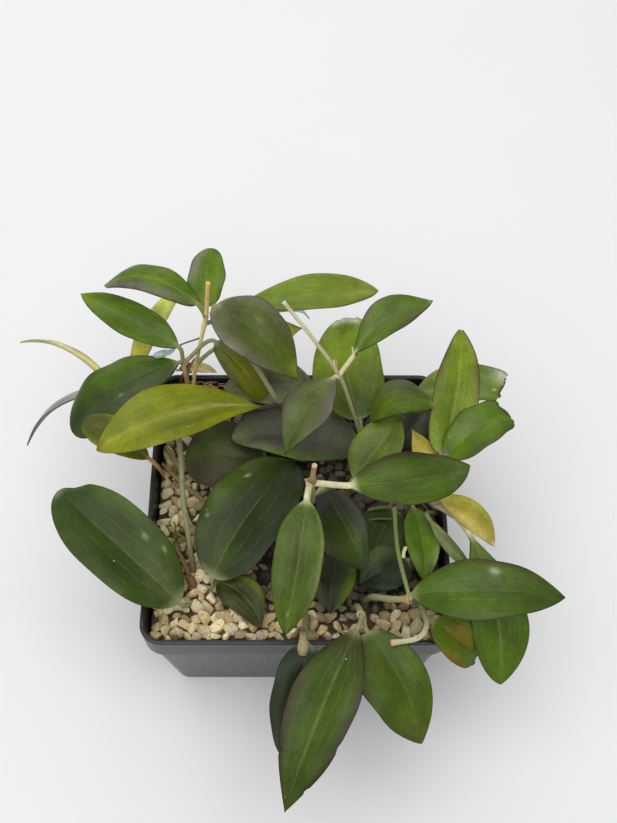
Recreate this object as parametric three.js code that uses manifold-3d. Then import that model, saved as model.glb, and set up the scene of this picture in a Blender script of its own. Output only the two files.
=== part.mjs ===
// Potted hoya: leafy shoots in a square nursery pot filled with pumice.
// Millimetres, +Z up. The origin is the centre of the pot's underside,
// -Y is the front of the pot, and each stem, leaf, the pot and the pumice is a solid of its own.
import * as THREE from 'three';
import { mergeVertices } from 'three/addons/utils/BufferGeometryUtils.js';
import Module from 'manifold-3d';

// ---------------------------------------------------------------- driving dimensions

const potHeight = 85;
const rimWidth = 150;          // outside of the rim, flat to flat
const rimLip = 2.5;            // width of the rim seen from above
const bandHeight = 18;         // the straight band under the rim
const bandTaper = 1.6;         // the band's foot is narrower by this
const bandStep = 3.4;          // the wall under the band is narrower by this
const baseWidth = 130;
const wall = 1.5;
const rimCorner = 10.5;        // outside corner radius at the rim
const baseCorner = 7.4;
const drainHoleRadius = 6;
const drainHolePitch = 38;
const fillDepth = 8;           // pumice level below the rim
const clearance = 0.3;         // kept between touching solids
const cornerSteps = 5;         // facets of one rounded corner

const petioleRadius = 1.1;
const bladeThickness = 1.3;    // at the midrib
const ribRootThickness = 2.0;  // where the blade leaves its petiole
const stemSides = 8;
const stepsPerPoint = 2;

const fillLevel = potHeight - fillDepth;
const rootClearance = 1.8;     // a stem or petiole starts just clear of the pumice
const rootHeight = fillLevel + rootClearance;
const root = (x, y) => [x, y, rootHeight];

// ---------------------------------------------------------------- stems

// Each stem is a round tube through the points of its runs; a second run is a side branch.
const stems = {
  stem_back_left: {
    radius: 1.4,
    runs: [
      [root(-57, 69), [-56, 71, 84], [-51, 74, 112], [-46, 78, 135], [-43, 79, 162]],
      [root(-58, 68), [-59, 68, 88], [-59, 67, 109]],
    ],
  },
  stem_left: {
    radius: 1.6,
    runs: [
      [root(-51, -39), [-53, -24, 90], [-56, -6, 99], [-59, 23, 106], [-65, 38, 107],
        [-78, 49, 101], [-89, 58, 93]],
    ],
  },
  stem_back: {
    radius: 1.3,
    runs: [
      [root(-3, 52), [-7, 47, 97], [-10, 45, 107], [-20, 54, 124], [-31, 66, 136], [-42, 72, 146]],
    ],
  },
  stem_centre: {
    radius: 1.5,
    runs: [
      [root(37, 32), [31, 43, 106], [20, 51, 126], [7, 61, 142], [-6, 72, 156]],
    ],
  },
  stem_middle: {
    radius: 1.6,
    runs: [
      [root(7, -13), [7, -14, 110], [7, -19, 144], [8, -17, 157]],
    ],
  },
  stem_front_right: {
    radius: 1.6,
    runs: [
      [root(32, -49), [36, -52, 87], [44, -56, 95], [53, -58, 100]],
      [[53, -58, 100], [49, -37, 108], [47, -17, 112]],
    ],
  },
  stem_right_edge: {
    radius: 1.6,
    runs: [
      [root(62, 11), [64, 2, 88], [68, -7, 96], [77, -15, 100]],
    ],
  },
  stem_front: {
    radius: 1.8,
    runs: [
      [root(5, -53), [4, -70, 93], [3, -83, 99]],
      [[3, -83, 99], [3, -76, 109]],
    ],
  },
  stem_right: {
    radius: 1.4,
    runs: [
      [root(68, 35), [69, 36, 88], [71, 37, 98], [71, 36, 116]],
      [[71, 37, 98], [71, 25, 104], [71, 11, 107]],
    ],
  },
  stem_front_2: {
    radius: 1.5,
    runs: [
      [root(27, -52), [29, -58, 90], [30, -65, 98]],
    ],
  },
  stem_front_corner: {
    radius: 1.3,
    runs: [
      [root(58, -49), [59, -55, 85], [60, -61, 90]],
      [[60, -61, 90], [57, -71, 98], [51, -77, 101], [43, -79, 100]],
    ],
  },
};

// ---------------------------------------------------------------- leaves

// A petiole goes from node (on a stem, or just above the pumice) to base, where the blade begins,
// and the blade's straight line goes on to tip. start is the gap left at the node.
const leaves = [
  { name: 'leaf_back_left_1', node: [-46, 78, 134], base: [-46, 83, 136], tip: [-43, 107, 153],
    width: 19, form: 'blunt', arch: -2, sway: -1.5, start: 3 },
  { name: 'leaf_back_left_2', node: [-46, 78, 136], base: [-50, 81, 142], tip: [-100, 98, 131],
    width: 18, arch: 13, sway: 4, roll: -8, cup: -0.3, start: 3.8 },
  { name: 'leaf_back_left_3', node: [-59, 67, 109], base: [-61, 71, 118], tip: [-114, 104, 118],
    width: 20, arch: 3, sway: -0.5, roll: -5 },
  { name: 'leaf_back_left_4', node: [-59, 67, 108], base: [-61, 66, 111], tip: [-114, 37, 89],
    width: 36, form: 'cut', arch: 5, sway: 3, roll: 5, cup: -0.12 },
  { name: 'leaf_back_3', node: [-9, 44, 106], base: [-18, 40, 110], tip: [-96, 8, 124],
    width: 27, form: 'tapered', arch: 7, sway: 4, roll: -12, tone: 'olive' },
  { name: 'leaf_left_1', node: root(-68, 18), base: [-75, 19, 94], tip: [-108, 34, 106],
    width: 19, form: 'spoon', arch: 3, start: 0, tone: 'olive' },
  { name: 'leaf_left_2', node: [-89, 58, 94], base: [-94, 61, 95], tip: [-152, 96, 84],
    width: 12, arch: 9, roll: 48, skew: 0.3, tone: 'olive' },
  { name: 'leaf_left_3', node: [-89, 58, 92], base: [-102, 61, 90], tip: [-147, 45, 60],
    width: 12, arch: 8, roll: 40, tone: 'dark' },
  { name: 'leaf_left_4', node: [-85, 56, 95], base: [-87, 62, 98], tip: [-64, 122, 104],
    width: 12, sway: -3, tone: 'olive' },
  { name: 'leaf_back_left_5', node: [-49, 77, 118], base: [-54, 77, 116], tip: [-71, 74, 110],
    width: 5, form: 'spoon', arch: -2, tone: 'dark' },
  { name: 'leaf_back_1', node: [-42, 72, 146], base: [-40, 74, 150], tip: [-2, 46, 129],
    width: 31, form: 'full', arch: 9, sway: -2 },
  { name: 'leaf_back_2', node: [-41, 73, 143], base: [-33, 75, 145], tip: [40, 94, 134],
    width: 21, form: 'spoon', arch: 4, sway: -0.5, roll: 5 },
  { name: 'leaf_back_left_8', node: [-47, 78, 129], base: [-33, 82, 129], tip: [7, 98, 109],
    width: 9, arch: 8, roll: 30 },
  { name: 'leaf_back_left_6', node: [-52, 70, 105], base: [-42, 74, 112], tip: [2, 92, 104],
    width: 12, arch: 3, roll: 10, tone: 'olive' },
  { name: 'leaf_back_left_7', node: [-59, 67, 109], base: [-42, 74, 118], tip: [-15, 50, 102],
    width: 14, arch: 3, sway: -3, roll: 25, tone: 'olive' },
  { name: 'leaf_centre_1', node: [21, 51, 125], base: [28, 55, 133], tip: [68, 84, 140],
    width: 20, arch: 4, sway: -4.5 },
  { name: 'leaf_centre_2', node: [21, 51, 125], base: [18, 48, 127], tip: [-6, 9, 118],
    width: 24, arch: 5, roll: 12, start: 2.6, tone: 'dark' },
  { name: 'leaf_centre_3', node: [34, 39, 90], base: [32, 42, 94], tip: [25, 83, 126],
    width: 37, form: 'blunt', arch: -3, sway: -3 },
  { name: 'leaf_centre_4', node: [35, 37, 82], base: [32, 31, 86], tip: [-35, 33, 92],
    width: 31, form: 'full', arch: 4, start: 4, tone: 'dark' },
  { name: 'leaf_low_1', node: root(13, 62), base: [8, 65, 91], tip: [-39, 60, 95],
    width: 30, arch: 3, start: 0, tone: 'dark' },
  { name: 'leaf_low_2', node: root(-12, 26), base: [-16, 26, 81], tip: [-58, 22, 84],
    width: 40, form: 'blunt', arch: 3, start: 0, tone: 'dark' },
  { name: 'leaf_front_left_1', node: root(-46, -43), base: [-41, -42, 86], tip: [-2, 18, 92],
    width: 44, form: 'blunt', arch: 4, sway: -2.5, start: 0 },
  { name: 'leaf_front_left_2', node: root(-52, -50), base: [-56, -56, 90], tip: [-115, -8, 112],
    width: 38, form: 'blunt', arch: 4, sway: -0.5, start: 0 },
  { name: 'leaf_front_left_3', node: root(-43, -45), base: [-39, -42, 81], tip: [-17, -66, 83],
    width: 19, arch: 2, sway: -4, start: 0 },
  { name: 'leaf_middle_1', node: [6, -19, 144], base: [3, -32, 149], tip: [-4, -84, 128],
    width: 23, arch: 5, sway: -1 },
  { name: 'leaf_middle_2', node: [6, -19, 144], base: [24, -22, 147], tip: [80, -7, 136],
    width: 27, arch: 4, sway: 4, start: 3.4 },
  { name: 'leaf_middle_3', node: [7, -14, 110], base: [12.5, -7, 113], tip: [32.5, -45, 104],
    width: 31, form: 'sharp', arch: 4, start: 3.6, tone: 'dark' },
  { name: 'leaf_low_3', node: root(17, -24), base: [20, -29, 85], tip: [16, -60, 86],
    width: 23, arch: 3, sway: 1, start: 0, tone: 'dark' },
  { name: 'leaf_low_4', node: root(51, -1), base: [49, -3, 81], tip: [29, -43, 81],
    width: 30, form: 'blunt', arch: 2, start: 0, tone: 'dark' },
  { name: 'leaf_low_5', node: root(57, -33), base: [54, -33.5, 88.5], tip: [30, -46, 88.5],
    width: 24, form: 'full', arch: 2, start: 0, tone: 'dark' },
  { name: 'leaf_right_1', node: [71, 36, 116], base: [68, 36, 119], tip: [36, 32, 108],
    width: 20, arch: 9, sway: 4 },
  { name: 'leaf_middle_4', node: root(28, 11), base: [28, 6, 98], tip: [53, 35, 110],
    width: 24, form: 'spoon', arch: 3, sway: 2.5, start: 0 },
  { name: 'leaf_right_2', node: [71, 11, 106], base: [71, 13, 110], tip: [80, 67, 142],
    width: 23, arch: -2, sway: 3, start: 3 },
  { name: 'leaf_right_4', node: root(62, 63), base: [62, 56, 96], tip: [107, 58, 108],
    width: 22, form: 'cut', arch: 4, sway: 2, start: 0 },
  { name: 'leaf_right_3', node: [73, 11, 103], base: [75, 13, 107], tip: [105, 33, 116],
    width: 24, form: 'cut', arch: 4, sway: -1 },
  { name: 'leaf_low_6', node: root(50, 31), base: [52, 32, 82], tip: [69, 55, 83],
    width: 20, arch: 3, start: 0, tone: 'dark' },
  { name: 'leaf_right_edge_1', node: [68, -7, 96], base: [67, 0, 98], tip: [58, 33, 100],
    width: 16, arch: 3, sway: 1, start: 3, tone: 'olive' },
  { name: 'leaf_right_edge_2', node: [70, -9, 98], base: [71, -7, 101], tip: [97, -26, 88],
    width: 14, arch: 10, roll: 5, tone: 'olive' },
  { name: 'leaf_right_edge_3', node: [77, -15, 100], base: [83, -26, 102], tip: [98, -89, 70],
    width: 28, form: 'blunt', arch: 6, sway: -3.5 },
  { name: 'leaf_front_right_1', node: [53, -58, 100], base: [56, -58, 102], tip: [124, -60, 108],
    width: 30, arch: 6 },
  { name: 'leaf_front_right_2', node: root(58, 3), base: [58, -5, 88], tip: [62, -44, 86],
    width: 17, arch: 3, sway: -1.5, start: 0 },
  { name: 'leaf_front_right_3', node: root(71, -1), base: [65, -15, 95], tip: [87, -38, 83],
    width: 8, arch: 5, roll: 30, start: 0 },
  { name: 'leaf_front_1', node: [3, -83, 99], base: [1, -86, 99], tip: [-7, -123, 70],
    width: 25, arch: 6, sway: -2, tone: 'dark' },
  { name: 'leaf_front_2', node: [31, -64, 98], base: [28, -73, 101], tip: [-5, -150, 80],
    width: 27, arch: 7, sway: 1 },
  { name: 'leaf_front_3', node: [31, -64, 96], base: [33, -72, 95], tip: [58, -118, 72],
    width: 27, arch: 5, sway: -3 },
  { name: 'leaf_front_right_4', node: [60, -61, 90], base: [64, -66, 91], tip: [85, -78, 82],
    width: 20, form: 'cut', arch: 3, start: 2.6 },
];

// ---------------------------------------------------------------- solids

// A closed skin through rings of equally many points, with a flat cap on the first and the last.
function loft(rings) {
  const count = rings[0].length;
  const positions = rings.flat().flatMap((point) => [point.x, point.y, point.z]);
  const index = [];
  for (let row = 0; row + 1 < rings.length; row++) {
    for (let column = 0; column < count; column++) {
      const a = row * count + column;
      const b = row * count + ((column + 1) % count);
      index.push(a, b, a + count, b, b + count, a + count);
    }
  }
  const last = (rings.length - 1) * count;
  for (let column = 1; column + 1 < count; column++) {
    index.push(0, column + 1, column);
    index.push(last, last + column, last + column + 1);
  }
  const geometry = new THREE.BufferGeometry();
  geometry.setAttribute('position', new THREE.Float32BufferAttribute(positions, 3));
  geometry.setIndex(index);
  geometry.computeVertexNormals();
  return geometry;
}

// A square of the given width with rounded corners, at height z.
function roundedSquare(width, corner, z) {
  const points = [];
  const centre = width / 2 - corner;
  for (let quarter = 0; quarter < 4; quarter++) {
    const signX = quarter === 0 || quarter === 3 ? 1 : -1;
    const signY = quarter < 2 ? 1 : -1;
    for (let step = 0; step <= cornerSteps; step++) {
      const angle = ((quarter + step / cornerSteps) * Math.PI) / 2;
      const x = signX * centre + corner * Math.cos(angle);
      const y = signY * centre + corner * Math.sin(angle);
      points.push(new THREE.Vector3(x, y, z));
    }
  }
  return points;
}

const wasm = await Module();
wasm.setup();

function toSolid(geometry) {
  const bare = geometry.clone();
  bare.deleteAttribute('normal');
  bare.deleteAttribute('uv');
  const merged = mergeVertices(bare, 1e-4);
  return new wasm.Manifold(new wasm.Mesh({
    numProp: 3,
    vertProperties: new Float32Array(merged.attributes.position.array),
    triVerts: new Uint32Array(merged.index.array),
  }));
}

function fromSolid(solid) {
  const mesh = solid.getMesh();
  const geometry = new THREE.BufferGeometry();
  geometry.setAttribute('position', new THREE.Float32BufferAttribute(mesh.vertProperties, 3));
  geometry.setIndex(Array.from(mesh.triVerts));
  geometry.computeVertexNormals();
  return geometry;
}

// The pot: one skin from the underside up the wall, over the rim and down to the inner floor,
// with a ring of drain holes that leaves the middle of the floor whole.
function potGeometry() {
  const bandFoot = potHeight - bandHeight;
  const wallTop = rimWidth - bandTaper - bandStep;
  const inner = (width) => width - 2 * wall;
  const shell = toSolid(loft([
    roundedSquare(baseWidth, baseCorner, 0),
    roundedSquare(wallTop, rimCorner - 2, bandFoot),
    roundedSquare(rimWidth - bandTaper, rimCorner - 1, bandFoot),
    roundedSquare(rimWidth, rimCorner, potHeight),
    roundedSquare(rimWidth - 2 * rimLip, rimCorner - rimLip, potHeight),
    roundedSquare(inner(wallTop), rimCorner - rimLip, bandFoot),
    roundedSquare(inner(baseWidth), baseCorner - wall, wall),
  ]));
  let pot = shell;
  for (const column of [-1, 0, 1]) {
    for (const row of [-1, 0, 1]) {
      if (column === 0 && row === 0) continue;
      const drill = new THREE.CylinderGeometry(drainHoleRadius, drainHoleRadius, 4 * wall, 16);
      drill.rotateX(Math.PI / 2);
      drill.translate(column * drainHolePitch, row * drainHolePitch, wall / 2);
      pot = pot.subtract(toSolid(drill));
    }
  }
  return fromSolid(pot);
}

// The pumice fill, a plug that follows the inside of the pot.
function fillGeometry() {
  const bandFoot = potHeight - bandHeight;
  const wallTop = rimWidth - bandTaper - bandStep - 2 * wall;
  const rimInside = rimWidth - 2 * rimLip;
  const share = (fillLevel - bandFoot) / bandHeight;
  const topWidth = wallTop + (rimInside - wallTop) * share;
  const gap = 2 * clearance;
  return loft([
    roundedSquare(baseWidth - 2 * wall - gap, baseCorner - wall, wall + clearance),
    roundedSquare(wallTop - gap, rimCorner - rimLip, bandFoot),
    roundedSquare(topWidth - gap, rimCorner - rimLip, fillLevel),
  ]);
}

// One stem: a round tube along each of its runs, joined where they meet.
function stemGeometry({ radius, runs }) {
  const tubes = runs.map((run) => {
    const path = new THREE.CatmullRomCurve3(run.map((point) => new THREE.Vector3(...point)));
    const section = new THREE.Shape();
    for (let side = 0; side < stemSides; side++) {
      const angle = (side / stemSides) * 2 * Math.PI;
      const corner = [radius * Math.cos(angle), radius * Math.sin(angle)];
      if (side === 0) section.moveTo(...corner);
      else section.lineTo(...corner);
    }
    section.closePath();
    const steps = stepsPerPoint * run.length;
    return new THREE.ExtrudeGeometry(section, { steps, extrudePath: path, bevelEnabled: false });
  });
  const solids = tubes.map(toSolid);
  let joined = solids[0];
  for (const solid of solids.slice(1)) joined = joined.add(solid);
  return fromSolid(joined);
}

// Half-width of a blade as a share of its greatest half-width, at t = 0 (base) to 1 (tip).
function outline(t, { broadest, basePower, tipPower }) {
  const bend = Math.log(basePower / (basePower + tipPower)) / Math.log(broadest);
  const shape = (s) => s ** basePower * (1 - s) ** tipPower;
  return shape(t ** bend) / shape(basePower / (basePower + tipPower));
}

const forms = {
  pointed: { broadest: 0.45, basePower: 0.7, tipPower: 0.85 },
  blunt: { broadest: 0.5, basePower: 0.7, tipPower: 0.5 },
  spoon: { broadest: 0.6, basePower: 0.9, tipPower: 0.5 },
  cut: { broadest: 0.55, basePower: 0.7, tipPower: 0.35 },
  tapered: { broadest: 0.6, basePower: 0.9, tipPower: 0.75 },
  full: { broadest: 0.4, basePower: 0.5, tipPower: 0.8 },
  sharp: { broadest: 0.46, basePower: 0.7, tipPower: 1.2 },
};

const petioleStations = [0, 0.7];   // shares of the way from the node to the blade
const bladeStations = [0, 0.12, 0.3, 0.5, 0.7, 0.88, 1];
const flatFrom = 0.3;               // the thick rib root has flattened out by this share
const tipHalfWidth = 0.5;
const tipThinning = 0.5;            // the tip is this much thinner than the middle
const cupPower = 1.5;
const ringPoints = 8;

// One leaf: a round petiole that flattens into a thin curved blade, as one skin.
// arch lifts the middle of the blade, sway moves it sideways, roll turns the blade about
// its midrib, and cup raises (or with a minus sign lowers) its margins.
function leafGeometry(leaf) {
  const { width, arch = 4, sway = 0, roll = 0, cup = 0.12, skew = 0 } = leaf;
  const { form = 'pointed', start = 2.2 } = leaf;
  const node = new THREE.Vector3(...leaf.node);
  const base = new THREE.Vector3(...leaf.base);
  const tip = new THREE.Vector3(...leaf.tip);
  const up = new THREE.Vector3(0, 0, 1);
  const petiole = base.clone().sub(node).normalize();
  const along = tip.clone().sub(base).normalize();
  const length = tip.distanceTo(base);
  const flatSide = along.clone().cross(up).normalize();
  const flatFace = flatSide.clone().cross(along);
  const turn = THREE.MathUtils.degToRad(roll);
  const side = flatSide.clone().multiplyScalar(Math.cos(turn))
    .addScaledVector(flatFace, -Math.sin(turn));
  const face = flatFace.clone().multiplyScalar(Math.cos(turn))
    .addScaledVector(flatSide, Math.sin(turn));

  const rings = [];
  const petioleSide = side.clone().addScaledVector(petiole, -side.dot(petiole)).normalize();
  const petioleFace = petioleSide.clone().cross(petiole);
  const first = node.clone().addScaledVector(petiole, start);
  for (const share of petioleStations) {
    const centre = first.clone().lerp(base, share);
    rings.push(ring(centre, petioleSide, petioleFace, petioleRadius, petioleRadius, 0));
  }
  for (const t of bladeStations) {
    const rise = arch * 4 * t * (1 - t) * (1 + skew * (2 * t - 1));
    const centre = base.clone()
      .addScaledVector(along, t * length)
      .addScaledVector(face, rise)
      .addScaledVector(side, sway * 4 * t * (1 - t));
    const shape = outline(t, forms[form]);
    const half = Math.max((width / 2) * shape, petioleRadius * (1 - t), tipHalfWidth);
    const flatten = Math.min(1, t / flatFrom);
    const thickness = ribRootThickness + (bladeThickness - ribRootThickness) * flatten;
    const lift = (cup * width * shape) / 2;
    const depth = (thickness / 2) * (1 - tipThinning * t ** 3);
    rings.push(ring(centre, side, face, half, depth, lift));
  }
  return loft(rings);
}

// An ellipse of the given half-width and depth, with its two ends raised by lift.
function ring(centre, side, face, half, depth, lift) {
  const points = [];
  for (let k = 0; k < ringPoints; k++) {
    const angle = (-k / ringPoints) * 2 * Math.PI;
    const across = Math.cos(angle);
    const rise = depth * Math.sin(angle) + lift * Math.abs(across) ** cupPower;
    points.push(centre.clone().addScaledVector(side, half * across).addScaledVector(face, rise));
  }
  return points;
}

// ---------------------------------------------------------------- colours and the whole plant

const blackPlastic = { color: 0x3b3a3e, roughness: 0.5, metalness: 0 };
const pumice = { color: 0xb6a17e, roughness: 0.95, metalness: 0 };
const paleStem = { color: 0xa9a888, roughness: 0.6, metalness: 0 };
const leafGreens = {
  green: { color: 0x4d7032, roughness: 0.45, metalness: 0 },
  dark: { color: 0x39483a, roughness: 0.45, metalness: 0 },
  olive: { color: 0x86923c, roughness: 0.45, metalness: 0 },
};

const plant = new THREE.Group();

function addPart(name, geometry, finish) {
  const mesh = new THREE.Mesh(geometry, new THREE.MeshStandardMaterial(finish));
  mesh.name = name;
  plant.add(mesh);
}

addPart('pot', potGeometry(), blackPlastic);
addPart('pumice_fill', fillGeometry(), pumice);
for (const [name, stem] of Object.entries(stems)) addPart(name, stemGeometry(stem), paleStem);
for (const leaf of leaves) addPart(leaf.name, leafGeometry(leaf), leafGreens[leaf.tone ?? 'green']);

export default plant;
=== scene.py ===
import bpy
import numpy as np
from mathutils import Matrix


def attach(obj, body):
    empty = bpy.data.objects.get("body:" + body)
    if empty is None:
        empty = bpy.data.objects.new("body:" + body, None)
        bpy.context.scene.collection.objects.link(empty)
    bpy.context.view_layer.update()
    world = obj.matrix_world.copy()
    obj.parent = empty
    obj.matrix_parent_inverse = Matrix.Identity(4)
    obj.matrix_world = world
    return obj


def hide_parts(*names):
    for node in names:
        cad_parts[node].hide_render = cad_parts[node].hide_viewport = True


# A potted hoya in a square nursery pot, each leaf, stem and stone worked out at full detail.
# Lengths are in millimetres until a piece is made. -Y is the front of the pot and +Z is up.
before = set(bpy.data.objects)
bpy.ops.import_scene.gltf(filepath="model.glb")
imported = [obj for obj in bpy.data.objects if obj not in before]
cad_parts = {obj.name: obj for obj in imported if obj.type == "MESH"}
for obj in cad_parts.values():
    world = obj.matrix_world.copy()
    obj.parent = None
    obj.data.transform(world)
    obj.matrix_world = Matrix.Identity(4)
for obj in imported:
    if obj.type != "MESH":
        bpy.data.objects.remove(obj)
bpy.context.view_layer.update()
mm = 0.001

# Colours, as red, green and blue from 0 to 255.
palette = {
    "midGreen": (82, 103, 35), "brightGreen": (112, 132, 52), "vividGreen": (86, 112, 28),
    "limeGreen": (84, 108, 17), "softGreen": (110, 130, 46), "deepGreen": (64, 80, 33),
    "darkGreen": (54, 64, 38), "nightGreen": (44, 52, 32), "charcoal": (66, 70, 56),
    "slate": (92, 94, 88), "greyGreen": (106, 118, 72), "greyPlum": (92, 92, 82), "mist": (158, 170, 166),
    # The grey-violet bloom colour is partly a wax bloom and partly painted sheen, the soft light's
    # reflection on the parts of a blade that turn away.
    "bloomAndSheen": (112, 104, 100), "oliveGreen": (92, 102, 30), "olive": (106, 118, 34),
    "yellowGreen": (130, 138, 42), "limeRim": (156, 160, 84), "paleYellow": (192, 190, 128),
    "yellow": (172, 158, 56), "mustard": (140, 128, 42), "purpleBrown": (76, 54, 48),
    "redBrown": (112, 76, 50), "rust": (138, 86, 46), "bark": (118, 92, 62), "tan": (206, 172, 124),
    "cream": (214, 208, 166), "paleGrey": (172, 176, 156), "mark": (170, 190, 120),
    "stemGreen": (148, 150, 108), "stemGrey": (164, 160, 126), "stemOlive": (136, 144, 84),
    "dryTan": (190, 150, 98), "straw": (206, 186, 134),
}


# Red, green and blue as light, from what the screen shows, less the sheen that the soft light adds.
def asLight(colour, sheen=0.0):
    shown = np.asarray(palette[colour] if isinstance(colour, str) else colour, float) / 255
    light = np.where(shown <= 0.04045, shown / 12.92, ((shown + 0.055) / 1.055) ** 2.4)
    return np.maximum(light - sheen, 0.004)


# ---- shapes as arrays


# Each vector at length one.
def unit(vectors):
    return vectors / np.linalg.norm(vectors, axis=-1, keepdims=True)


# 0 below low and 1 above high, with a smooth rise between.
def rise(value, low, high):
    share = np.clip((value - low) / (high - low), 0, 1)
    return share * share * (3 - 2 * share)


# What lies this share of the way from first to second.
def blend(first, second, share):
    return first * (1 - share) + second * share


# Rows of numbers that lie at the shares of the way from first to last.
def between(first, last, shares):
    return list(blend(np.array(first, float), np.array(last, float), np.asarray(shares)[:, None]))


# The cubic that leaves start along leaving and reaches end along meeting, at the shares s (Hermite).
def cubic(start, end, leaving, meeting, s):
    return ((2 * s**3 - 3 * s**2 + 1) * start + (s**3 - 2 * s**2 + s) * leaving
            + (3 * s**2 - 2 * s**3) * end + (s**3 - s**2) * meeting)


# A curve through the points (Catmull-Rom): each stretch is a cubic whose slope at a point is
# half the step between that point's two neighbours.
def curveThrough(points, stepsEach):
    points = np.asarray(points, float)
    before = np.vstack([2 * points[:1] - points[1:2], points[:-1]])
    after = np.vstack([points[1:], 2 * points[-1:] - points[-2:-1]])
    slope = (after - before) / 2
    place = np.linspace(0, len(points) - 1, stepsEach * (len(points) - 1) + 1)
    at = np.minimum(place.astype(int), len(points) - 2)
    return cubic(points[at], points[at + 1], slope[at], slope[at + 1], (place - at)[:, None])


# Smooth unevenness, about -1 to 1: a few sine waves of random direction and phase over x and y, the
# busiest with this many turns in a unit.
def wander(x, y, draw, waves, busiest):
    total = 0.0
    for _ in range(waves):
        turnsX, turnsY = draw.uniform(-busiest, busiest, 2)
        total = total + np.sin(2 * np.pi * (turnsX * x + turnsY * y + draw.uniform()))
    return total / np.sqrt(waves)


# Quads between neighbouring rings of count points, and one face to close each end.
def skinFaces(rows, count, first=0):
    row, column = np.meshgrid(np.arange(rows - 1), np.arange(count), indexing="ij")
    here = first + row * count + column
    beside = first + row * count + (column + 1) % count
    quads = np.stack([here, beside, beside + count, here + count], -1).reshape(-1, 4)
    lastRing = first + (rows - 1) * count
    ends = [list(range(first, first + count))[::-1], list(range(lastRing, lastRing + count))]
    return quads.tolist() + ends


# A colour layer from light of any shape, with a fourth value of one.
def asTint(light):
    return np.concatenate([light, np.ones((*light.shape[:-1], 1))], -1).reshape(-1, 4)


# Puts a closed skin into a mesh with its faces outwards: a skin whose signed volume, the sum of
# the tetrahedra from the origin to its faces, comes out negative is turned round first.
def makePiece(name, points, faces, material, nodes=(), layers=None, smooth=True):
    corners = np.asarray(points, float).reshape(-1, 3)
    quads = np.array([face for face in faces if len(face) == 4])
    a, b, c, d = (corners[quads[:, k]] for k in range(4))
    volume = np.einsum("ij,ij->", a, np.cross(b, c)) + np.einsum("ij,ij->", a, np.cross(c, d))
    if volume < 0:
        faces = [face[::-1] for face in faces]
    mesh = bpy.data.meshes.new(name)
    mesh.from_pydata((corners * mm).tolist(), [], faces)
    for layer, values in (layers or {}).items():
        kind, field = ("FLOAT_COLOR", "color") if values.shape[-1] == 4 else ("FLOAT_VECTOR", "vector")
        made = mesh.attributes.new(layer, kind, "POINT")
        made.data.foreach_set(field, np.ascontiguousarray(values, np.float32).ravel())
    mesh.polygons.foreach_set("use_smooth", np.full(len(mesh.polygons), smooth))
    mesh.materials.append(material)
    piece = bpy.data.objects.new(name, mesh)
    bpy.context.scene.collection.objects.link(piece)
    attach(piece, "root")
    if nodes:
        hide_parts(*nodes)
    return piece


# ---- material nodes


# Adds a node, sets its values and links what comes from other nodes.
def node(tree, kind, inputs=None, **settings):
    made = tree.nodes.new(kind)
    for key, value in settings.items():
        setattr(made, key, value)
    for socket, value in (inputs or {}).items():
        setSocket(tree, made.inputs[socket], value)
    return made


# Links a socket where the value comes from a node, and sets it where it is a plain number or colour.
def setSocket(tree, socket, value):
    if isinstance(value, bpy.types.NodeSocket):
        tree.links.new(value, socket)
    else:
        socket.default_value = value


# One maths node on the values.
def calculate(tree, operation, *values):
    return node(tree, "ShaderNodeMath", dict(enumerate(values)), operation=operation).outputs[0]


# The values multiplied together, one after the other.
def times(tree, first, *others):
    for other in others:
        first = calculate(tree, "MULTIPLY", first, other)
    return first


# A value scaled and then shifted.
def fitted(tree, value, scale, shift):
    return calculate(tree, "MULTIPLY_ADD", value, scale, shift)


# A smooth change from 0 at low to 1 at high, or from 1 to 0 where low is the greater.
def fade(tree, value, low, high):
    inputs = {"Value": value, "From Min": low, "From Max": high, "To Min": 0.0, "To Max": 1.0}
    if low > high:
        inputs.update({"From Min": high, "From Max": low, "To Min": 1.0, "To Max": 0.0})
    made = node(tree, "ShaderNodeMapRange", inputs, interpolation_type="SMOOTHSTEP")
    return made.outputs["Result"]


# Soft noise from 0 to 1, with this many patterns to a metre.
def noise(tree, where, scale, detail=3.0, roughness=0.5):
    inputs = {"Vector": where, "Scale": scale, "Detail": detail, "Roughness": roughness}
    return node(tree, "ShaderNodeTexNoise", inputs).outputs["Fac"]


# Places with each axis multiplied by its own scale.
def stretched(tree, where, scale):
    return node(tree, "ShaderNodeMapping", {"Vector": where, "Scale": scale}).outputs[0]


# The three numbers of a vector.
def parted(tree, vector):
    return node(tree, "ShaderNodeSeparateXYZ", {0: vector}).outputs


# What a mesh's layer holds at each place.
def layerOf(tree, name):
    return node(tree, "ShaderNodeAttribute", attribute_name=name, attribute_type="GEOMETRY")


# A colour multiplied by a value.
def scaled(tree, colour, value):
    return node(tree, "ShaderNodeVectorMath", {0: colour, 3: value}, operation="SCALE").outputs[0]


# A plain colour laid over another where the mask is, at this strength.
def overlay(tree, under, mask, strength, colour, sheen=0.0):
    made = node(tree, "ShaderNodeMix", data_type="RGBA")
    setSocket(tree, made.inputs[0], times(tree, mask, strength))
    setSocket(tree, made.inputs[6], under)
    setSocket(tree, made.inputs[7], (*asLight(colour, sheen), 1.0))
    return made.outputs[2]


# An empty material with its shader, and the places that patterns are worked out from.
def startMaterial(name):
    material = bpy.data.materials.new(name)
    material.use_nodes = True
    tree = material.node_tree
    where = node(tree, "ShaderNodeTexCoord").outputs["Object"]
    return material, tree, tree.nodes["Principled BSDF"], where


# Connects a material's colour and roughness, and a relief of this strength and depth in metres.
def finishMaterial(tree, shader, colour, roughness, relief, strength, depth):
    tree.links.new(colour, shader.inputs["Base Color"])
    setSocket(tree, shader.inputs["Roughness"], roughness)
    bump = node(tree, "ShaderNodeBump", {"Height": relief, "Strength": strength, "Distance": depth})
    tree.links.new(bump.outputs[0], shader.inputs["Normal"])


# ---- leaf finish

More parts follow.
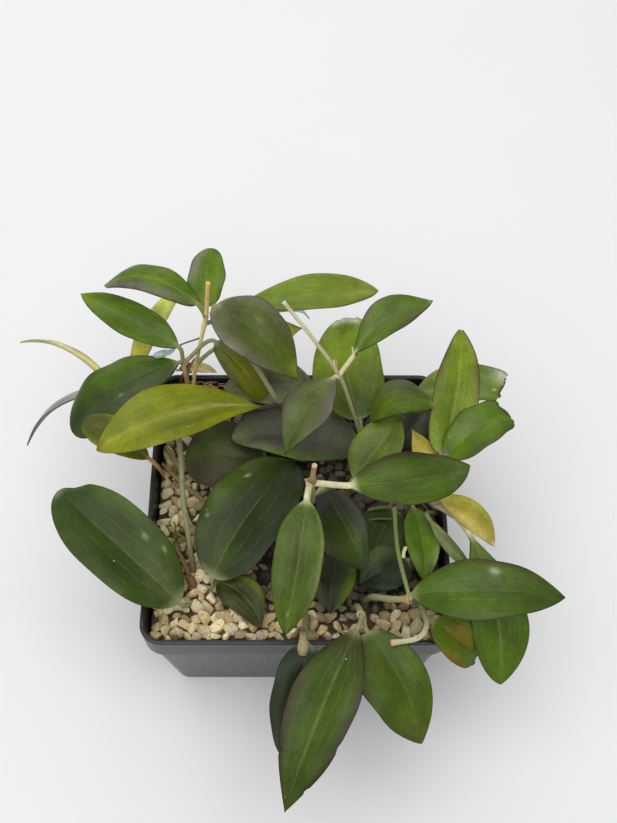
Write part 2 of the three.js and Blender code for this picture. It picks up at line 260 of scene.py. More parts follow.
leafFinish = {
    "fine_leaf_green": {"vein": (150, 166, 92), "margin": (58, 38, 34), "roughness": 0.35},
    "fine_leaf_dark": {"vein": (112, 126, 84), "margin": (48, 36, 36), "roughness": 0.38},
    "fine_leaf_olive": {"vein": (196, 196, 104), "margin": (108, 84, 38), "roughness": 0.38},
}
leafPattern = {
    "veinPlaces": (0.0, 0.34, 0.66),      # across the half blade, midrib first
    "veinShares": (1.0, 0.5, 0.34),       # how plain each vein shows
    "veinFan": 0.24,                      # the veins have spread from the base by this share
    "fanPower": 0.6,
    "veinWidth": 0.27,                    # mm
    "veinWobble": 1.2,                    # mm
    "veinStrength": 0.33,
    "veinSheen": 0.02,                    # taken off the colour, as the soft light adds it
    "marginWidth": 0.6,                   # mm
    "marginStrength": 0.7,
    "marginSheen": 0.01,
    "streaks": (0.8, 16.0),               # per mm across the blade, per length of the blade
    "mottle": 110.0,                      # pattern scales, per metre
    "grain": 900.0,
    "skin": 2600.0,
    "fleckCells": 150.0,
    "specks": 520.0,
    "fleck": (186, 196, 150),
    "fleckStrength": 0.8,
    "speck": (40, 44, 30),
    "speckStrength": 0.35,
    "relief": (0.55, 0.0004),             # strength, and depth in metres
    "specular": 0.2,
    "coat": 0.05,
    "coatRoughness": 0.18,
}


# The veins' mask: lines at their places, which fan out from the base, wobble along the blade, break
# here and there and fade towards the tip.
def veinMask(tree, where, across, along, half):
    look = leafPattern
    wobble = fitted(tree, noise(tree, where, 90.0, 2.0), look["veinWobble"], -look["veinWobble"] / 2)
    fan = calculate(tree, "DIVIDE", along, look["veinFan"])
    fan = calculate(tree, "MAXIMUM", calculate(tree, "MINIMUM", fan, 1.0), 0.0)
    fan = calculate(tree, "POWER", fan, look["fanPower"])
    veins = 0.0
    for spot, share in zip(look["veinPlaces"], look["veinShares"]):
        off = times(tree, calculate(tree, "SUBTRACT", across, times(tree, fan, spot)), half)
        if spot > 0:
            off = calculate(tree, "ADD", off, wobble)
        off = calculate(tree, "ABSOLUTE", off)
        line = fade(tree, off, look["veinWidth"] * 2.2, look["veinWidth"] * 0.3)
        veins = calculate(tree, "MAXIMUM", veins, times(tree, line, share))
    broken = fade(tree, noise(tree, where, 200.0, 3.0), 0.34, 0.64)
    return times(tree, veins, fitted(tree, broken, 0.75, 0.25), fade(tree, along, 1.05, 0.45))


# The margin's mask: a thin band of uneven width along the edge.
def marginMask(tree, where, across, half):
    inside = times(tree, calculate(tree, "SUBTRACT", 1.0, across), half)
    edge = fitted(tree, noise(tree, where, 420.0, 3.0), -1.1, calculate(tree, "ADD", inside, 0.55))
    return fade(tree, edge, leafPattern["marginWidth"] * 1.4, leafPattern["marginWidth"] * 0.2)


# The flecks' mask: a small uneven dot in the middle of some cells, as many as share says.
def fleckMask(tree, where, share):
    cells = node(tree, "ShaderNodeTexVoronoi", {"Vector": where, "Scale": leafPattern["fleckCells"]})
    chosen = parted(tree, cells.outputs["Color"])
    size = fitted(tree, chosen[1], 0.07, 0.03)
    reach = fitted(tree, noise(tree, where, 1400.0), 0.05, cells.outputs["Distance"])
    dot = calculate(tree, "LESS_THAN", reach, size)
    return times(tree, dot, calculate(tree, "LESS_THAN", chosen[0], share))


# Lighter and darker places of a blade: streaks along it, broad mottling and a fine grain.
def leafShading(tree, where, place):
    acrossTimes, alongTimes = leafPattern["streaks"]
    streakSpot = node(tree, "ShaderNodeCombineXYZ", {
        0: times(tree, place[0], place[2], acrossTimes),
        1: times(tree, place[1], alongTimes),
        2: times(tree, place[2], 0.2)}).outputs[0]
    streaks = fitted(tree, noise(tree, streakSpot, 1.0, 4.0, 0.55), 0.7, 0.65)
    mottle = fitted(tree, noise(tree, where, leafPattern["mottle"], 4.0, 0.6), 0.9, 0.55)
    grain = fitted(tree, noise(tree, where, leafPattern["grain"], 3.0, 0.65), 0.5, 0.75)
    return times(tree, mottle, grain, streaks)


# A blade's finish: its own tint, mottled, with pale veins that fan from the base and run along the
# blade, a thin purple-brown margin, small pale flecks, dark specks, and a fine uneven skin.
def leafMaterial(name, look):
    plan = leafPattern
    material, tree, shader, where = startMaterial(name)
    place = parted(tree, layerOf(tree, "place").outputs["Vector"])     # across, along, half width
    habit = parted(tree, layerOf(tree, "habit").outputs["Vector"])     # veins, margin, flecks
    across = calculate(tree, "ABSOLUTE", place[0])
    onBlade = fade(tree, place[1], 0.0, 0.03)
    veins = times(tree, veinMask(tree, where, across, place[1], place[2]), habit[0], onBlade)
    margin = times(tree, marginMask(tree, where, across, place[2]), habit[1], onBlade)
    flecks = fleckMask(tree, where, habit[2])
    specks = fade(tree, noise(tree, where, plan["specks"], 2.0), 0.7, 0.76)

    colour = scaled(tree, layerOf(tree, "tint").outputs["Color"], leafShading(tree, where, place))
    colour = overlay(tree, colour, specks, plan["speckStrength"], plan["speck"])
    colour = overlay(tree, colour, veins, plan["veinStrength"], look["vein"], plan["veinSheen"])
    colour = overlay(tree, colour, margin, plan["marginStrength"], look["margin"], plan["marginSheen"])
    colour = overlay(tree, colour, flecks, plan["fleckStrength"], plan["fleck"])
    shine = fitted(tree, noise(tree, where, 260.0, 4.0, 0.6), 0.22, look["roughness"] - 0.11)
    shine = fitted(tree, flecks, 0.3, fitted(tree, veins, 0.08, shine))
    relief = times(tree, noise(tree, where, 480.0, 3.0), 0.9)
    relief = fitted(tree, noise(tree, where, plan["skin"], 2.0), 0.25, relief)
    relief = fitted(tree, veins, -0.5, fitted(tree, flecks, 0.4, relief))
    finishMaterial(tree, shader, colour, shine, relief, *plan["relief"])
    shader.inputs["Specular IOR Level"].default_value = plan["specular"]
    shader.inputs["Coat Weight"].default_value = plan["coat"]
    shader.inputs["Coat Roughness"].default_value = plan["coatRoughness"]
    return material


# ---- leaves

leafForms = {   # where the blade is broadest, and how it widens from the base and narrows to the tip
    "pointed": (0.45, 0.7, 0.85), "blunt": (0.5, 0.7, 0.5), "spoon": (0.6, 0.9, 0.5),
    "cut": (0.55, 0.7, 0.35), "tapered": (0.6, 0.9, 0.75), "full": (0.4, 0.5, 0.8),
    "sharp": (0.46, 0.7, 1.2), "lance": (0.44, 0.75, 1.0), "spear": (0.52, 0.95, 0.95),
    "shield": (0.38, 0.4, 0.95), "even": (0.4, 0.5, 0.65), "broad": (0.5, 0.38, 0.5),
}
leafBuild = {
    "petioleRadius": 1.1,
    "bladeThickness": 1.3,
    "ribThickness": 2.0,
    "petioleRows": 12,
    "bladeRows": 64,
    "columnWidth": 2.5,      # mm of blade to a pair of columns
    "leastColumns": 11,
    "hookFrom": 0.88,        # a hooked tip bends from this share on
    "thinnest": 0.3,         # half width of the very tip
    "flatFrom": 0.3,         # the thick rib root has flattened out by this share of the blade
    "waver": 0.035,          # unevenness of the outline, as a share of the half width
    "thinnerTip": 0.5,       # how much thinner the blade is at its tip
    "groove": 0.24,          # depth and reach of the groove over the midrib
    "grooveReach": 0.9,
    "sideGroove": 0.07,      # and of those over the side veins
    "sideGrooveReach": 0.7,
    "fold": 0.09,            # the two halves rise from the midrib by this slope
    "pillow": 0.055,         # and swell between midrib and margin by this share of the half width
    "rib": 0.45,             # how far the midrib stands out underneath, and its reach
    "ribReach": 1.3,
    "quilt": 0.28,           # unevenness of the blade's face
    "ripple": 0.05,          # waves of the margin, as a share of the half width
    "cloud": 0.16,           # broad lighter and darker patches
    "underside": 0.5,        # how far the underside turns grey-green
    "sheen": 0.018,
    "rootedBelow": 79,       # a stalk whose foot is lower than this grows out of the pumice
    "rootDepth": 6,
}
usualLeaf = {   # what a leaf has unless its row says otherwise
    "form": "pointed", "arch": 4, "sway": 0, "skew": 0, "roll": 0, "cup": 0.12, "hook": 0,
    "shares": (1, 1), "endHalf": 0, "slant": 0, "ragged": 0, "bites": (),
    "stalk": "stemGreen", "stalkRadius": leafBuild["petioleRadius"], "shade": 1.0, "washes": (),
}

# node, base and tip are where the stalk leaves its stem, where the blade begins and where it ends.
# arch lifts the middle of the blade, sway moves it sideways, skew shifts the lift towards the tip, roll
# turns the blade, cup raises its margins and hook bends the tip. shares makes the left and the right
# half narrower or wider. endHalf, slant and ragged are a torn end's half width, slope and unevenness.
# A bite is (side, along, length, depth) of a notch in the margin.
# A wash is (across, along, spread across, spread along, colour, strength); right of the midrib is
# positive, seen from above and looking towards the tip. The grey-violet bloom washes are partly
# painted sheen, the soft light's reflection, and other painted highlights and shade are noted at
# their leaves. habit is veins, margin and flecks. shade scales a leaf's colour: part its own tone,
# and part painted light, set higher on leaves that lie in the plant's shadow.
leaves = [
    dict(name="back_left_1", node=(-46, 78, 134), base=(-46, 83, 136), tip=(-43, 107, 153), width=19,
         form="blunt", arch=-2, sway=-1.5, colour="midGreen", shade=1.7, habit=(0.5, 0.8, 0.2),
         washes=[(-0.8, 0.75, 0.4, 0.3, "bloomAndSheen", 0.75)]),
    dict(name="back_left_2", node=(-46, 78, 136), base=(-50, 81, 142), tip=(-100, 98, 131), width=18,
         form="full", arch=12, sway=4, roll=-8, cup=-0.3, hook=2.0, shares=(0.85, 1),
         stalk="stemOlive", stalkRadius=1.25, colour="midGreen", shade=1.3, habit=(0.5, 0.9, 0.35),
         washes=[(0, 0.4, 0.14, 0.5, "yellowGreen", 0.22), (-0.85, 0.6, 0.4, 0.45, "bloomAndSheen", 0.85),
                 (0.7, 0.8, 0.4, 0.2, "bloomAndSheen", 0.45), (0.35, 0.35, 0.1, 0.035, "purpleBrown", 0.6)]),
    dict(name="back_left_3", node=(-59, 67, 109), base=(-61, 71, 118), tip=(-114, 104, 118), width=20,
         arch=3, sway=-0.5, roll=-5, colour="vividGreen", shade=1.05, habit=(0.4, 0.9, 0.3),
         washes=[(0, 0.45, 0.12, 0.5, "greyGreen", 0.4), (0, 1, 0.9, 0.14, "yellowGreen", 0.6),
                 (0.1, 0.1, 0.6, 0.16, "greyGreen", 0.5), (0.3, 0.35, 0.25, 0.15, "deepGreen", 0.5)]),
    dict(name="back_left_4", node=(-59, 67, 108), base=(-61, 66, 111), tip=(-117.5, 38.5, 89),
         width=36, form="spoon", arch=5, sway=3, roll=5, cup=-0.12, colour="deepGreen", shade=1.15,
         habit=(0.5, 0.8, 0.15),
         washes=[(0.7, 0.4, 0.45, 0.45, "vividGreen", 0.8), (-0.5, 0.45, 0.45, 0.45, "greyPlum", 0.4),
                 (0, 0.92, 1.0, 0.22, "nightGreen", 0.6), (-0.3, 0.5, 0.022, 0.012, "paleGrey", 0.7)]),
    # back_3's narrow cream wash along the midrib near the base is a painted highlight.
    dict(name="back_3", node=(-9, 44, 106), base=(-18, 40, 110), tip=(-96, 8, 124), width=27,
         form="tapered", arch=7, sway=5.5, roll=-12, shares=(1, 1.12), stalk=(78, 72, 70),
         colour=(134, 142, 36), shade=0.86, habit=(0.6, 0.5, 0.1),
         washes=[(0, 0.5, 0.1, 0.5, "limeRim", 0.7), (-0.45, 0.5, 0.2, 0.4, "oliveGreen", 0.6),
                 (0.4, 0.6, 0.2, 0.4, "olive", 0.4), (0.05, 0.2, 0.06, 0.15, "cream", 0.5),
                 (0, 0.03, 1.0, 0.08, "oliveGreen", 0.7), (0, 1, 0.6, 0.04, "rust", 0.8)]),
    dict(name="left_1", node=(-68, 18, 78.8), base=(-75, 19, 94), tip=(-108, 34, 106), width=19,
         form="spoon", arch=3, stalk="dryTan", colour=(90, 98, 14), shade=0.85, habit=(0.7, 0.5, 0.1),
         washes=[(0.95, 0.5, 0.25, 0.5, "yellowGreen", 0.8),
                 (-0.95, 0.5, 0.25, 0.5, "yellowGreen", 0.8)]),
    dict(name="left_2", node=(-89, 58, 94), base=(-94, 58.5, 95), tip=(-152, 96, 84), width=8.5,
         arch=8, skew=0.3, roll=48, colour="paleYellow", shade=1.3, habit=(0.3, 0.7, 0),
         washes=[(0.85, 0.5, 0.35, 0.6, "bark", 0.6)]),
    dict(name="left_3", node=(-89, 58, 92), base=(-102, 61, 90), tip=(-147, 45, 60), width=12, arch=8,
         roll=40, colour="paleGrey", shade=0.75, habit=(0.3, 0.8, 0),
         washes=[(-0.85, 0.5, 0.4, 0.7, "slate", 0.8)]),
    dict(name="left_4", node=(-85, 56, 95), base=(-87, 62, 98), tip=(-61, 122, 104), width=12, sway=-3,
         colour="limeRim", shade=1.8, habit=(0.4, 0.5, 0.1),
         washes=[(0.2, 0.2, 0.9, 0.35, "mustard", 0.6)]),
    dict(name="back_left_5", node=(-49, 77, 118), base=(-62.9, 71.4, 116), tip=(-74.5, 69.5, 112),
         width=4.5, form="spoon", arch=-2, stalk="greyGreen", stalkRadius=0.45, colour="mist",
         shade=1.7, habit=(0.1, 0.3, 0),
         washes=[(-0.6, 0.6, 0.5, 0.3, "slate", 0.6)]),
    dict(name="back_1", node=(-42, 72, 146), base=(-40, 74, 150), tip=(0, 45, 129), width=31,
         form="shield", arch=9, sway=0.5, shares=(0.97, 1.06), colour=(74, 84, 44), shade=1.3,
         habit=(0.6, 1.0, 0.6),
         washes=[(1.0, 0.35, 0.33, 0.5, "bloomAndSheen", 0.68), (-1.0, 0.3, 0.25, 0.4, "bloomAndSheen", 0.5),
                 (0.1, 0.05, 0.9, 0.13, "greyPlum", 0.5), (0.2, 0.8, 0.6, 0.22, "midGreen", 0.5),
                 (0, 0.95, 0.9, 0.12, "brightGreen", 0.6), (-0.35, 0.38, 0.08, 0.03, "mustard", 0.3)]),
    dict(name="back_2", node=(-41, 73, 143), base=(-33, 75, 145), tip=(41, 95, 134), width=21,
         form="tapered", sway=-0.5, roll=5, colour="brightGreen", shade=1.05, habit=(0.5, 0.7, 0.2),
         washes=[(0.6, 0.2, 0.4, 0.3, "greyGreen", 0.5), (0, 0.92, 0.8, 0.14, "limeRim", 0.4),
                 (-0.95, 0.6, 0.12, 0.4, "limeRim", 0.35)]),
    dict(name="back_left_8", node=(-47, 78, 129), base=(-33, 82, 129), tip=(5, 97, 110), width=8,
         arch=8, roll=5, hook=3.0, colour="mist", shade=1.9, habit=(0.3, 0.5, 0),
         washes=[(0.4, 0.5, 0.4, 0.5, "slate", 0.4)]),
    dict(name="back_left_6", node=(-52, 70, 105), base=(-42, 74, 112), tip=(2, 92, 104), width=20,
         form="sharp", arch=3, roll=10, colour=(130, 134, 62), shade=2.2, habit=(0.5, 0.6, 0.1),
         washes=[(0.4, 0.85, 0.5, 0.25, "mustard", 0.7)]),
    dict(name="back_left_7", node=(-59, 67, 109), base=(-42, 74, 118), tip=(-17, 51, 101), width=16,
         form="cut", arch=3, sway=-1.5, roll=25, colour=(128, 132, 36), shade=0.68,
         habit=(0.4, 0.4, 0.1),
         washes=[(0, 0.05, 1.2, 0.25, "vividGreen", 0.7), (0.9, 0.4, 0.35, 0.4, "oliveGreen", 0.6),
                 (0, 0.75, 0.6, 0.2, "yellowGreen", 0.6), (0, 1.0, 0.9, 0.04, "bark", 0.4)]),
    dict(name="centre_1", node=(20.5, 49, 126), base=(28, 57, 133), tip=(68, 84, 140), width=20,
         form="spear", sway=-4.5, hook=-0.6, stalk="cream", stalkRadius=1.2, colour="midGreen",
         shade=1.15, habit=(0.7, 1.0, 0.1),
         washes=[(0, 0.5, 0.3, 0.4, "greyGreen", 0.5), (0.9, 0.7, 0.25, 0.28, "purpleBrown", 0.8),
                 (-0.9, 0.4, 0.25, 0.4, "greyPlum", 0.4), (0, 0.99, 0.5, 0.04, "paleGrey", 0.6)]),
    dict(name="centre_2", node=(20.5, 48.5, 125.5), base=(18.5, 47.5, 127), tip=(-6, 9, 118), width=25,
         form="sharp", arch=5, roll=12, stalk="cream", colour="greyGreen", shade=0.8,
         habit=(0.7, 1.0, 0.3),
         washes=[(-0.8, 0.35, 0.4, 0.35, "bloomAndSheen", 0.7), (0.95, 0.5, 0.3, 0.4, "greyPlum", 0.6),
                 (0.1, 0.55, 0.3, 0.5, "midGreen", 0.6), (0, 0.93, 0.9, 0.16, "midGreen", 0.85),
                 (0.3, 0.75, 0.3, 0.12, "deepGreen", 0.5), (0, 0.03, 0.8, 0.06, "cream", 0.35)]),
    # centre_3's dark green wash over its lower part is painted shade.
    dict(name="centre_3", node=(33, 36, 90), base=(32, 42, 94), tip=(25, 83, 126), width=37,
         form="blunt", arch=-3, sway=-3, endHalf=5, ragged=0.8, colour="brightGreen", shade=1.57,
         habit=(0.8, 0.6, 0.1),
         washes=[(0, 0.05, 1.6, 0.42, "darkGreen", 0.9), (-0.1, 0.985, 1.2, 0.03, (190, 190, 168), 0.95),
                 (0, 0.9, 0.9, 0.03, "oliveGreen", 0.4)]),
    dict(name="centre_4", node=(35.9, 33, 82), base=(32, 31, 86), tip=(-34, 32.4, 92), width=31,
         form="blunt", cup=0.04, shares=(0.95, 1.38), bites=[(-1, 0.95, 0.3, 0.4)],
         colour=(74, 74, 63), shade=1.5, habit=(0.5, 0.7, 0.2),
         washes=[(-0.9, 0.6, 0.25, 0.4, "vividGreen", 0.6), (0, 0.95, 0.7, 0.1, "greyGreen", 0.5),
                 (0.95, 0.85, 0.35, 0.3, (50, 46, 50), 0.75)]),
    dict(name="low_1", node=(13, 62, 78.8), base=(8, 65, 91), tip=(-39, 60, 95), width=30, arch=3,
         colour=(91, 93, 67), shade=1.97, habit=(0.5, 0.6, 0.2),
         washes=[(0, 0.6, 0.7, 0.4, "darkGreen", 0.5)]),
    dict(name="low_2", node=(-12, 26, 78.8), base=(-16, 26, 81), tip=(-58, 22, 84), width=40,
         form="blunt", arch=3, colour=(57, 55, 45), shade=2.3, habit=(0.4, 0.5, 0.5),
         washes=[(0.3, 0.7, 0.5, 0.3, "deepGreen", 0.5)]),
    dict(name="front_left_1", node=(-40, -39, 78.8), base=(-41, -42, 86), tip=(-2, 18, 92), width=44,
         form="broad", sway=-2.5, shares=(1, 0.92), colour="darkGreen", shade=0.98,
         habit=(0.6, 0.6, 0.35),
         washes=[(-0.8, 0.6, 0.3, 0.4, "midGreen", 0.7), (0, 0.12, 0.7, 0.2, "deepGreen", 0.6),
                 (-0.62, 0.72, 0.035, 0.014, "cream", 0.75),
                 (-0.8, 0.33, 0.03, 0.014, "paleGrey", 0.7)]),
    dict(name="front_left_2", node=(-52, -50, 78.8), base=(-56, -56, 90), tip=(-115, -8, 112),
         width=38, form="blunt", sway=-0.5, bites=[(1, 0.97, 0.05, 0.35)], colour="deepGreen",
         shade=0.82, habit=(0.65, 0.7, 0.25),
         washes=[(0.95, 0.6, 0.3, 0.5, "vividGreen", 0.7), (-0.95, 0.5, 0.3, 0.5, "vividGreen", 0.6),
                 (0.1, 0.12, 0.6, 0.2, "greyGreen", 0.35),
                 (0.6, 0.42, 0.05, 0.022, "mark", 0.9),
                 (0.75, 0.28, 0.04, 0.018, "mark", 0.9),
                 (0, 0.99, 1.2, 0.02, "paleGrey", 0.5)]),
    dict(name="front_left_3", node=(-43, -45, 78.8), base=(-39, -42, 81), tip=(-17, -66, 83), width=19,
         arch=2, sway=-4, colour=(54, 56, 38), shade=2.1, habit=(0.6, 0.7, 0.2),
         washes=[(-0.9, 0.4, 0.3, 0.5, "midGreen", 0.5)]),
    # middle_1's grey-green wash near the middle is painted sheen.
    dict(name="middle_1", node=(6, -19, 144), base=(4.6, -30, 149), tip=(-4.8, -85.2, 128), width=23,
         arch=5, sway=-1, stalk="cream", stalkRadius=1.5, colour="midGreen", shade=0.81,
         habit=(0.6, 0.7, 0.1),
         washes=[(0.1, 0.35, 0.4, 0.3, "greyGreen", 0.45), (-0.95, 0.4, 0.15, 0.5, "limeRim", 0.5),
                 (0, 0.9, 0.9, 0.12, "brightGreen", 0.6), (0.1, 0.85, 0.06, 0.018, "cream", 0.35)]),
    dict(name="middle_2", node=(6, -19, 144), base=(24, -22, 147), tip=(81.1, -6.4, 134), width=27,
         sway=4, hook=-1.4, stalk="cream", stalkRadius=1.45, colour="limeGreen", shade=0.71,
         habit=(0.6, 0.9, 0.1),
         washes=[(-1.0, 0.5, 0.2, 0.6, "purpleBrown", 0.95), (0.1, 0.85, 0.8, 0.12, "greyGreen", 0.45),
                 (-0.3, 0.3, 0.25, 0.3, "brightGreen", 0.5)]),
    dict(name="middle_3", node=(7, -14, 110), base=(12.5, -7, 113), tip=(32.5, -45, 104), width=31,
         shares=(0.62, 1.12), colour=(50, 54, 32), shade=0.83, habit=(0.4, 0.9, 0.15),
         washes=[(0, 0.75, 0.9, 0.3, "midGreen", 0.75), (-0.9, 0.5, 0.25, 0.5, "greyPlum", 0.5)]),
    dict(name="low_3", node=(17, -24, 78.8), base=(20, -29, 85), tip=(16, -60, 86), width=23, arch=3,
         sway=1, colour=(52, 54, 32), shade=1.3, habit=(0.5, 0.5, 0.1),
         washes=[(-0.85, 0.6, 0.35, 0.5, "midGreen", 0.8)]),
    dict(name="low_4", node=(51, -1, 78.8), base=(49, -3, 81), tip=(29, -43, 81), width=30,
         form="blunt", arch=2, colour="darkGreen", shade=1.45, habit=(0.6, 0.6, 0.1),
         washes=[(0, 0.5, 0.5, 0.5, "deepGreen", 0.5)]),
    dict(name="low_5", node=(57, -33, 78.8), base=(54, -33.5, 88.5), tip=(30, -46, 88.5), width=24,
         form="full", arch=2, colour="nightGreen", shade=1.28, habit=(0.5, 0.6, 0.1),
         washes=[(0.8, 0.5, 0.4, 0.5, "greyGreen", 0.5)]),
    dict(name="right_1", node=(71, 36, 116), base=(68, 36, 119), tip=(36, 32, 108), width=20, arch=9,
         sway=4, colour="midGreen", shade=0.92, habit=(0.6, 0.8, 0.1),
         washes=[(0.85, 0.4, 0.3, 0.5, "greyPlum", 0.7), (0, 0.5, 0.35, 0.4, "olive", 0.4)]),
    dict(name="middle_4", node=(28, 11, 78.8), base=(28, 6, 98), tip=(51.4, 34.9, 110), width=25,
         arch=3, sway=1.5, colour=(90, 104, 50), shade=1.33, habit=(0.9, 0.7, 0.1),
         washes=[(0.7, 0.3, 0.4, 0.4, "deepGreen", 0.5)]),
    dict(name="right_2", node=(71, 11, 106), base=(71, 15, 107.5), tip=(80.2, 65.5, 142), width=23,
         form="even", arch=-4, sway=3, endHalf=1.2, colour="softGreen", shade=1.12,
         habit=(0.6, 1.0, 0.2),
         washes=[(0, 0.5, 0.08, 0.5, "limeRim", 0.35), (1.0, 0.7, 0.2, 0.3, "redBrown", 0.75),
                 (-1.0, 0.72, 0.2, 0.28, "redBrown", 0.75), (0, 0.98, 0.8, 0.04, "bark", 0.5)]),
    dict(name="right_4", node=(62, 63, 78.8), base=(62, 56, 96), tip=(104.5, 53.5, 108), width=23,
         form="cut", sway=-1, endHalf=6.8, slant=2.4, ragged=0.8, colour=(98, 116, 58), shade=1.5,
         habit=(0.6, 0.9, 0.5),
         washes=[(0, 0.4, 0.8, 0.4, "greyGreen", 0.5), (-0.8, 1.0, 0.5, 0.1, "paleGrey", 0.85),
                 (0.5, 1.0, 0.7, 0.03, "purpleBrown", 0.7), (0.3, 0.92, 0.06, 0.015, "cream", 0.8)]),
    # right_3's grey-green wash on its upper-left half is painted sheen.
    dict(name="right_3", node=(73, 11, 104), base=(73, 12, 110.5), tip=(102.8, 32, 119), width=24,
         form="cut", sway=-1, shares=(0.9, 1), endHalf=6.3, ragged=0.6, colour="vividGreen", shade=1.1,
         habit=(0.6, 0.9, 0.2),
         washes=[(0.9, 0.6, 0.2, 0.4, "purpleBrown", 0.4), (-0.4, 0.45, 0.4, 0.3, "greyGreen", 0.45),
                 (0, 1.0, 1.2, 0.03, "purpleBrown", 0.6)]),
    dict(name="low_6", node=(50, 31, 78.8), base=(52, 32, 82), tip=(69, 55, 83), width=20, arch=3,
         colour="charcoal", shade=1.3, habit=(0.4, 0.5, 0.2)),
    dict(name="right_edge_1", node=(68, -7, 96), base=(67, 0, 98), tip=(58, 33, 100), width=12,
         form="sharp", arch=3, sway=1, colour=(172, 158, 78), shade=1.35, habit=(0.5, 0.4, 0.1),
         washes=[(0.5, 0.7, 0.4, 0.3, "mustard", 0.4)]),
    dict(name="right_edge_2", node=(69, -8, 98), base=(69, -4.5, 101), tip=(97, -26, 88), width=13.5,
         arch=10, roll=5, colour=(144, 134, 60), shade=1.7, habit=(0.2, 0.4, 0.1),
         washes=[(-0.6, 0.4, 0.5, 0.5, "olive", 0.35), (0.7, 0.6, 0.4, 0.4, "straw", 0.3),
                 (0, 0.98, 0.8, 0.05, "cream", 0.6)]),
    dict(name="right_edge_3", node=(77, -15, 100), base=(83, -26, 102), tip=(97.4, -89.5, 70),
         width=28, form="tapered", arch=6, sway=-3.5, stalk="cream", stalkRadius=1.5,
         colour="vividGreen", shade=0.86, habit=(1.0, 0.6, 0.15),
         washes=[(0, 0.15, 0.9, 0.25, "brightGreen", 0.5), (0, 0.35, 0.08, 0.4, "limeRim", 0.5)]),
    # front_right_1's faint grey-green wash near the middle is painted sheen.
    dict(name="front_right_1", node=(53, -58, 100), base=(53.5, -56.5, 102.5), tip=(124, -60, 108),
         width=30, arch=6, colour="deepGreen", shade=1.15, habit=(0.6, 1.0, 0.15),
         washes=[(-0.1, 0.4, 0.3, 0.3, "greyGreen", 0.2), (0, 0.3, 1.2, 0.4, "vividGreen", 0.7),
                 (-0.95, 0.6, 0.12, 0.5, "purpleBrown", 0.6),
                 (-0.62, 0.54, 0.12, 0.032, "paleGrey", 0.65)]),
    dict(name="front_right_2", node=(58, 3, 78.8), base=(58, -5, 88), tip=(62, -44, 86), width=17,
         arch=3, sway=-1.5, colour="vividGreen", shade=1.1, habit=(0.9, 0.6, 0.1),
         washes=[(-0.9, 0.5, 0.2, 0.5, "limeRim", 0.5)]),
    dict(name="front_right_3", node=(71, -1, 78.8), base=(65, -15, 95), tip=(87, -38, 83), width=6.5,
         arch=5, roll=30, colour=(124, 138, 84), habit=(0.5, 0.4, 0.1)),
    dict(name="front_1", node=(3, -79, 99.5), base=(5, -79, 99), tip=(-7, -123, 70), width=25,
         form="full", arch=6, sway=-2, colour="nightGreen", shade=1.22, habit=(0.5, 0.7, 0.1),
         washes=[(0.7, 0.7, 0.4, 0.4, "charcoal", 0.6)]),
    dict(name="front_2", node=(31, -64, 98), base=(28, -73, 101), tip=(-5, -150, 80), width=30,
         form="lance", arch=7, sway=1,
         bites=[(1, 0.72, 0.012, 0.09), (-1, 0.86, 0.01, 0.12), (-1, 0.6, 0.02, 0.04)],
         colour="midGreen", shade=0.62, habit=(0.6, 1.2, 0.45),
         washes=[(1.0, 0.6, 0.22, 0.5, "purpleBrown", 0.75), (-1.0, 0.6, 0.2, 0.5, "purpleBrown", 0.75),
                 (0, 0.04, 1.2, 0.12, "purpleBrown", 0.6), (0, 0.5, 0.07, 0.5, "brightGreen", 0.4)]),
    # front_3's pale lime wash near the tip is painted sheen.
    dict(name="front_3", node=(31, -64, 96), base=(33, -72, 95), tip=(58, -118, 72), width=27,
         form="full", arch=5, sway=-3, shares=(0.95, 1.4), colour=(107, 134, 34), shade=0.48,
         habit=(0.35, 0.7, 0.1),
         washes=[(0, 0.4, 1.5, 0.6, "vividGreen", 0.35), (0.7, 0.15, 0.5, 0.2, "greyGreen", 0.5),
                 (0.1, 0.85, 0.5, 0.1, "limeRim", 0.4)]),
    dict(name="front_right_4", node=(60, -61, 90), base=(64, -66, 91), tip=(85.2, -79.5, 82), width=20,
         form="cut", arch=3, shares=(1, 1.15), endHalf=3.5, ragged=0.8, colour="vividGreen",
         shade=0.95, habit=(0.5, 0.9, 0.2),
         washes=[(-0.2, 0.5, 0.5, 0.3, "rust", 0.5), (0.95, 0.6, 0.2, 0.4, "rust", 0.6),
                 (-0.3, 0.98, 0.25, 0.06, "cream", 0.75)]),
]
toneOfLeaf = {
    "dark": ("centre_4", "low_1", "low_2", "middle_3", "low_3", "low_4", "low_5", "low_6", "front_1",
             "centre_2", "left_3", "back_left_5"),
    "olive": ("back_3", "left_1", "left_2", "left_4", "back_left_6", "back_left_7", "right_edge_1",
              "right_edge_2"),
}


# Half width at each share t of the blade, at most 1: a power of t times a power of what is left,
# with t bent so that the greatest width falls at the broadest share.
def outline(t, form):
    broadest, basePower, tipPower = leafForms[form]
    peak = basePower / (basePower + tipPower)
    s = np.clip(t, 0, 1) ** (np.log(peak) / np.log(broadest))
    return s**basePower * (1 - s) ** tipPower / (peak**basePower * (1 - peak) ** tipPower)


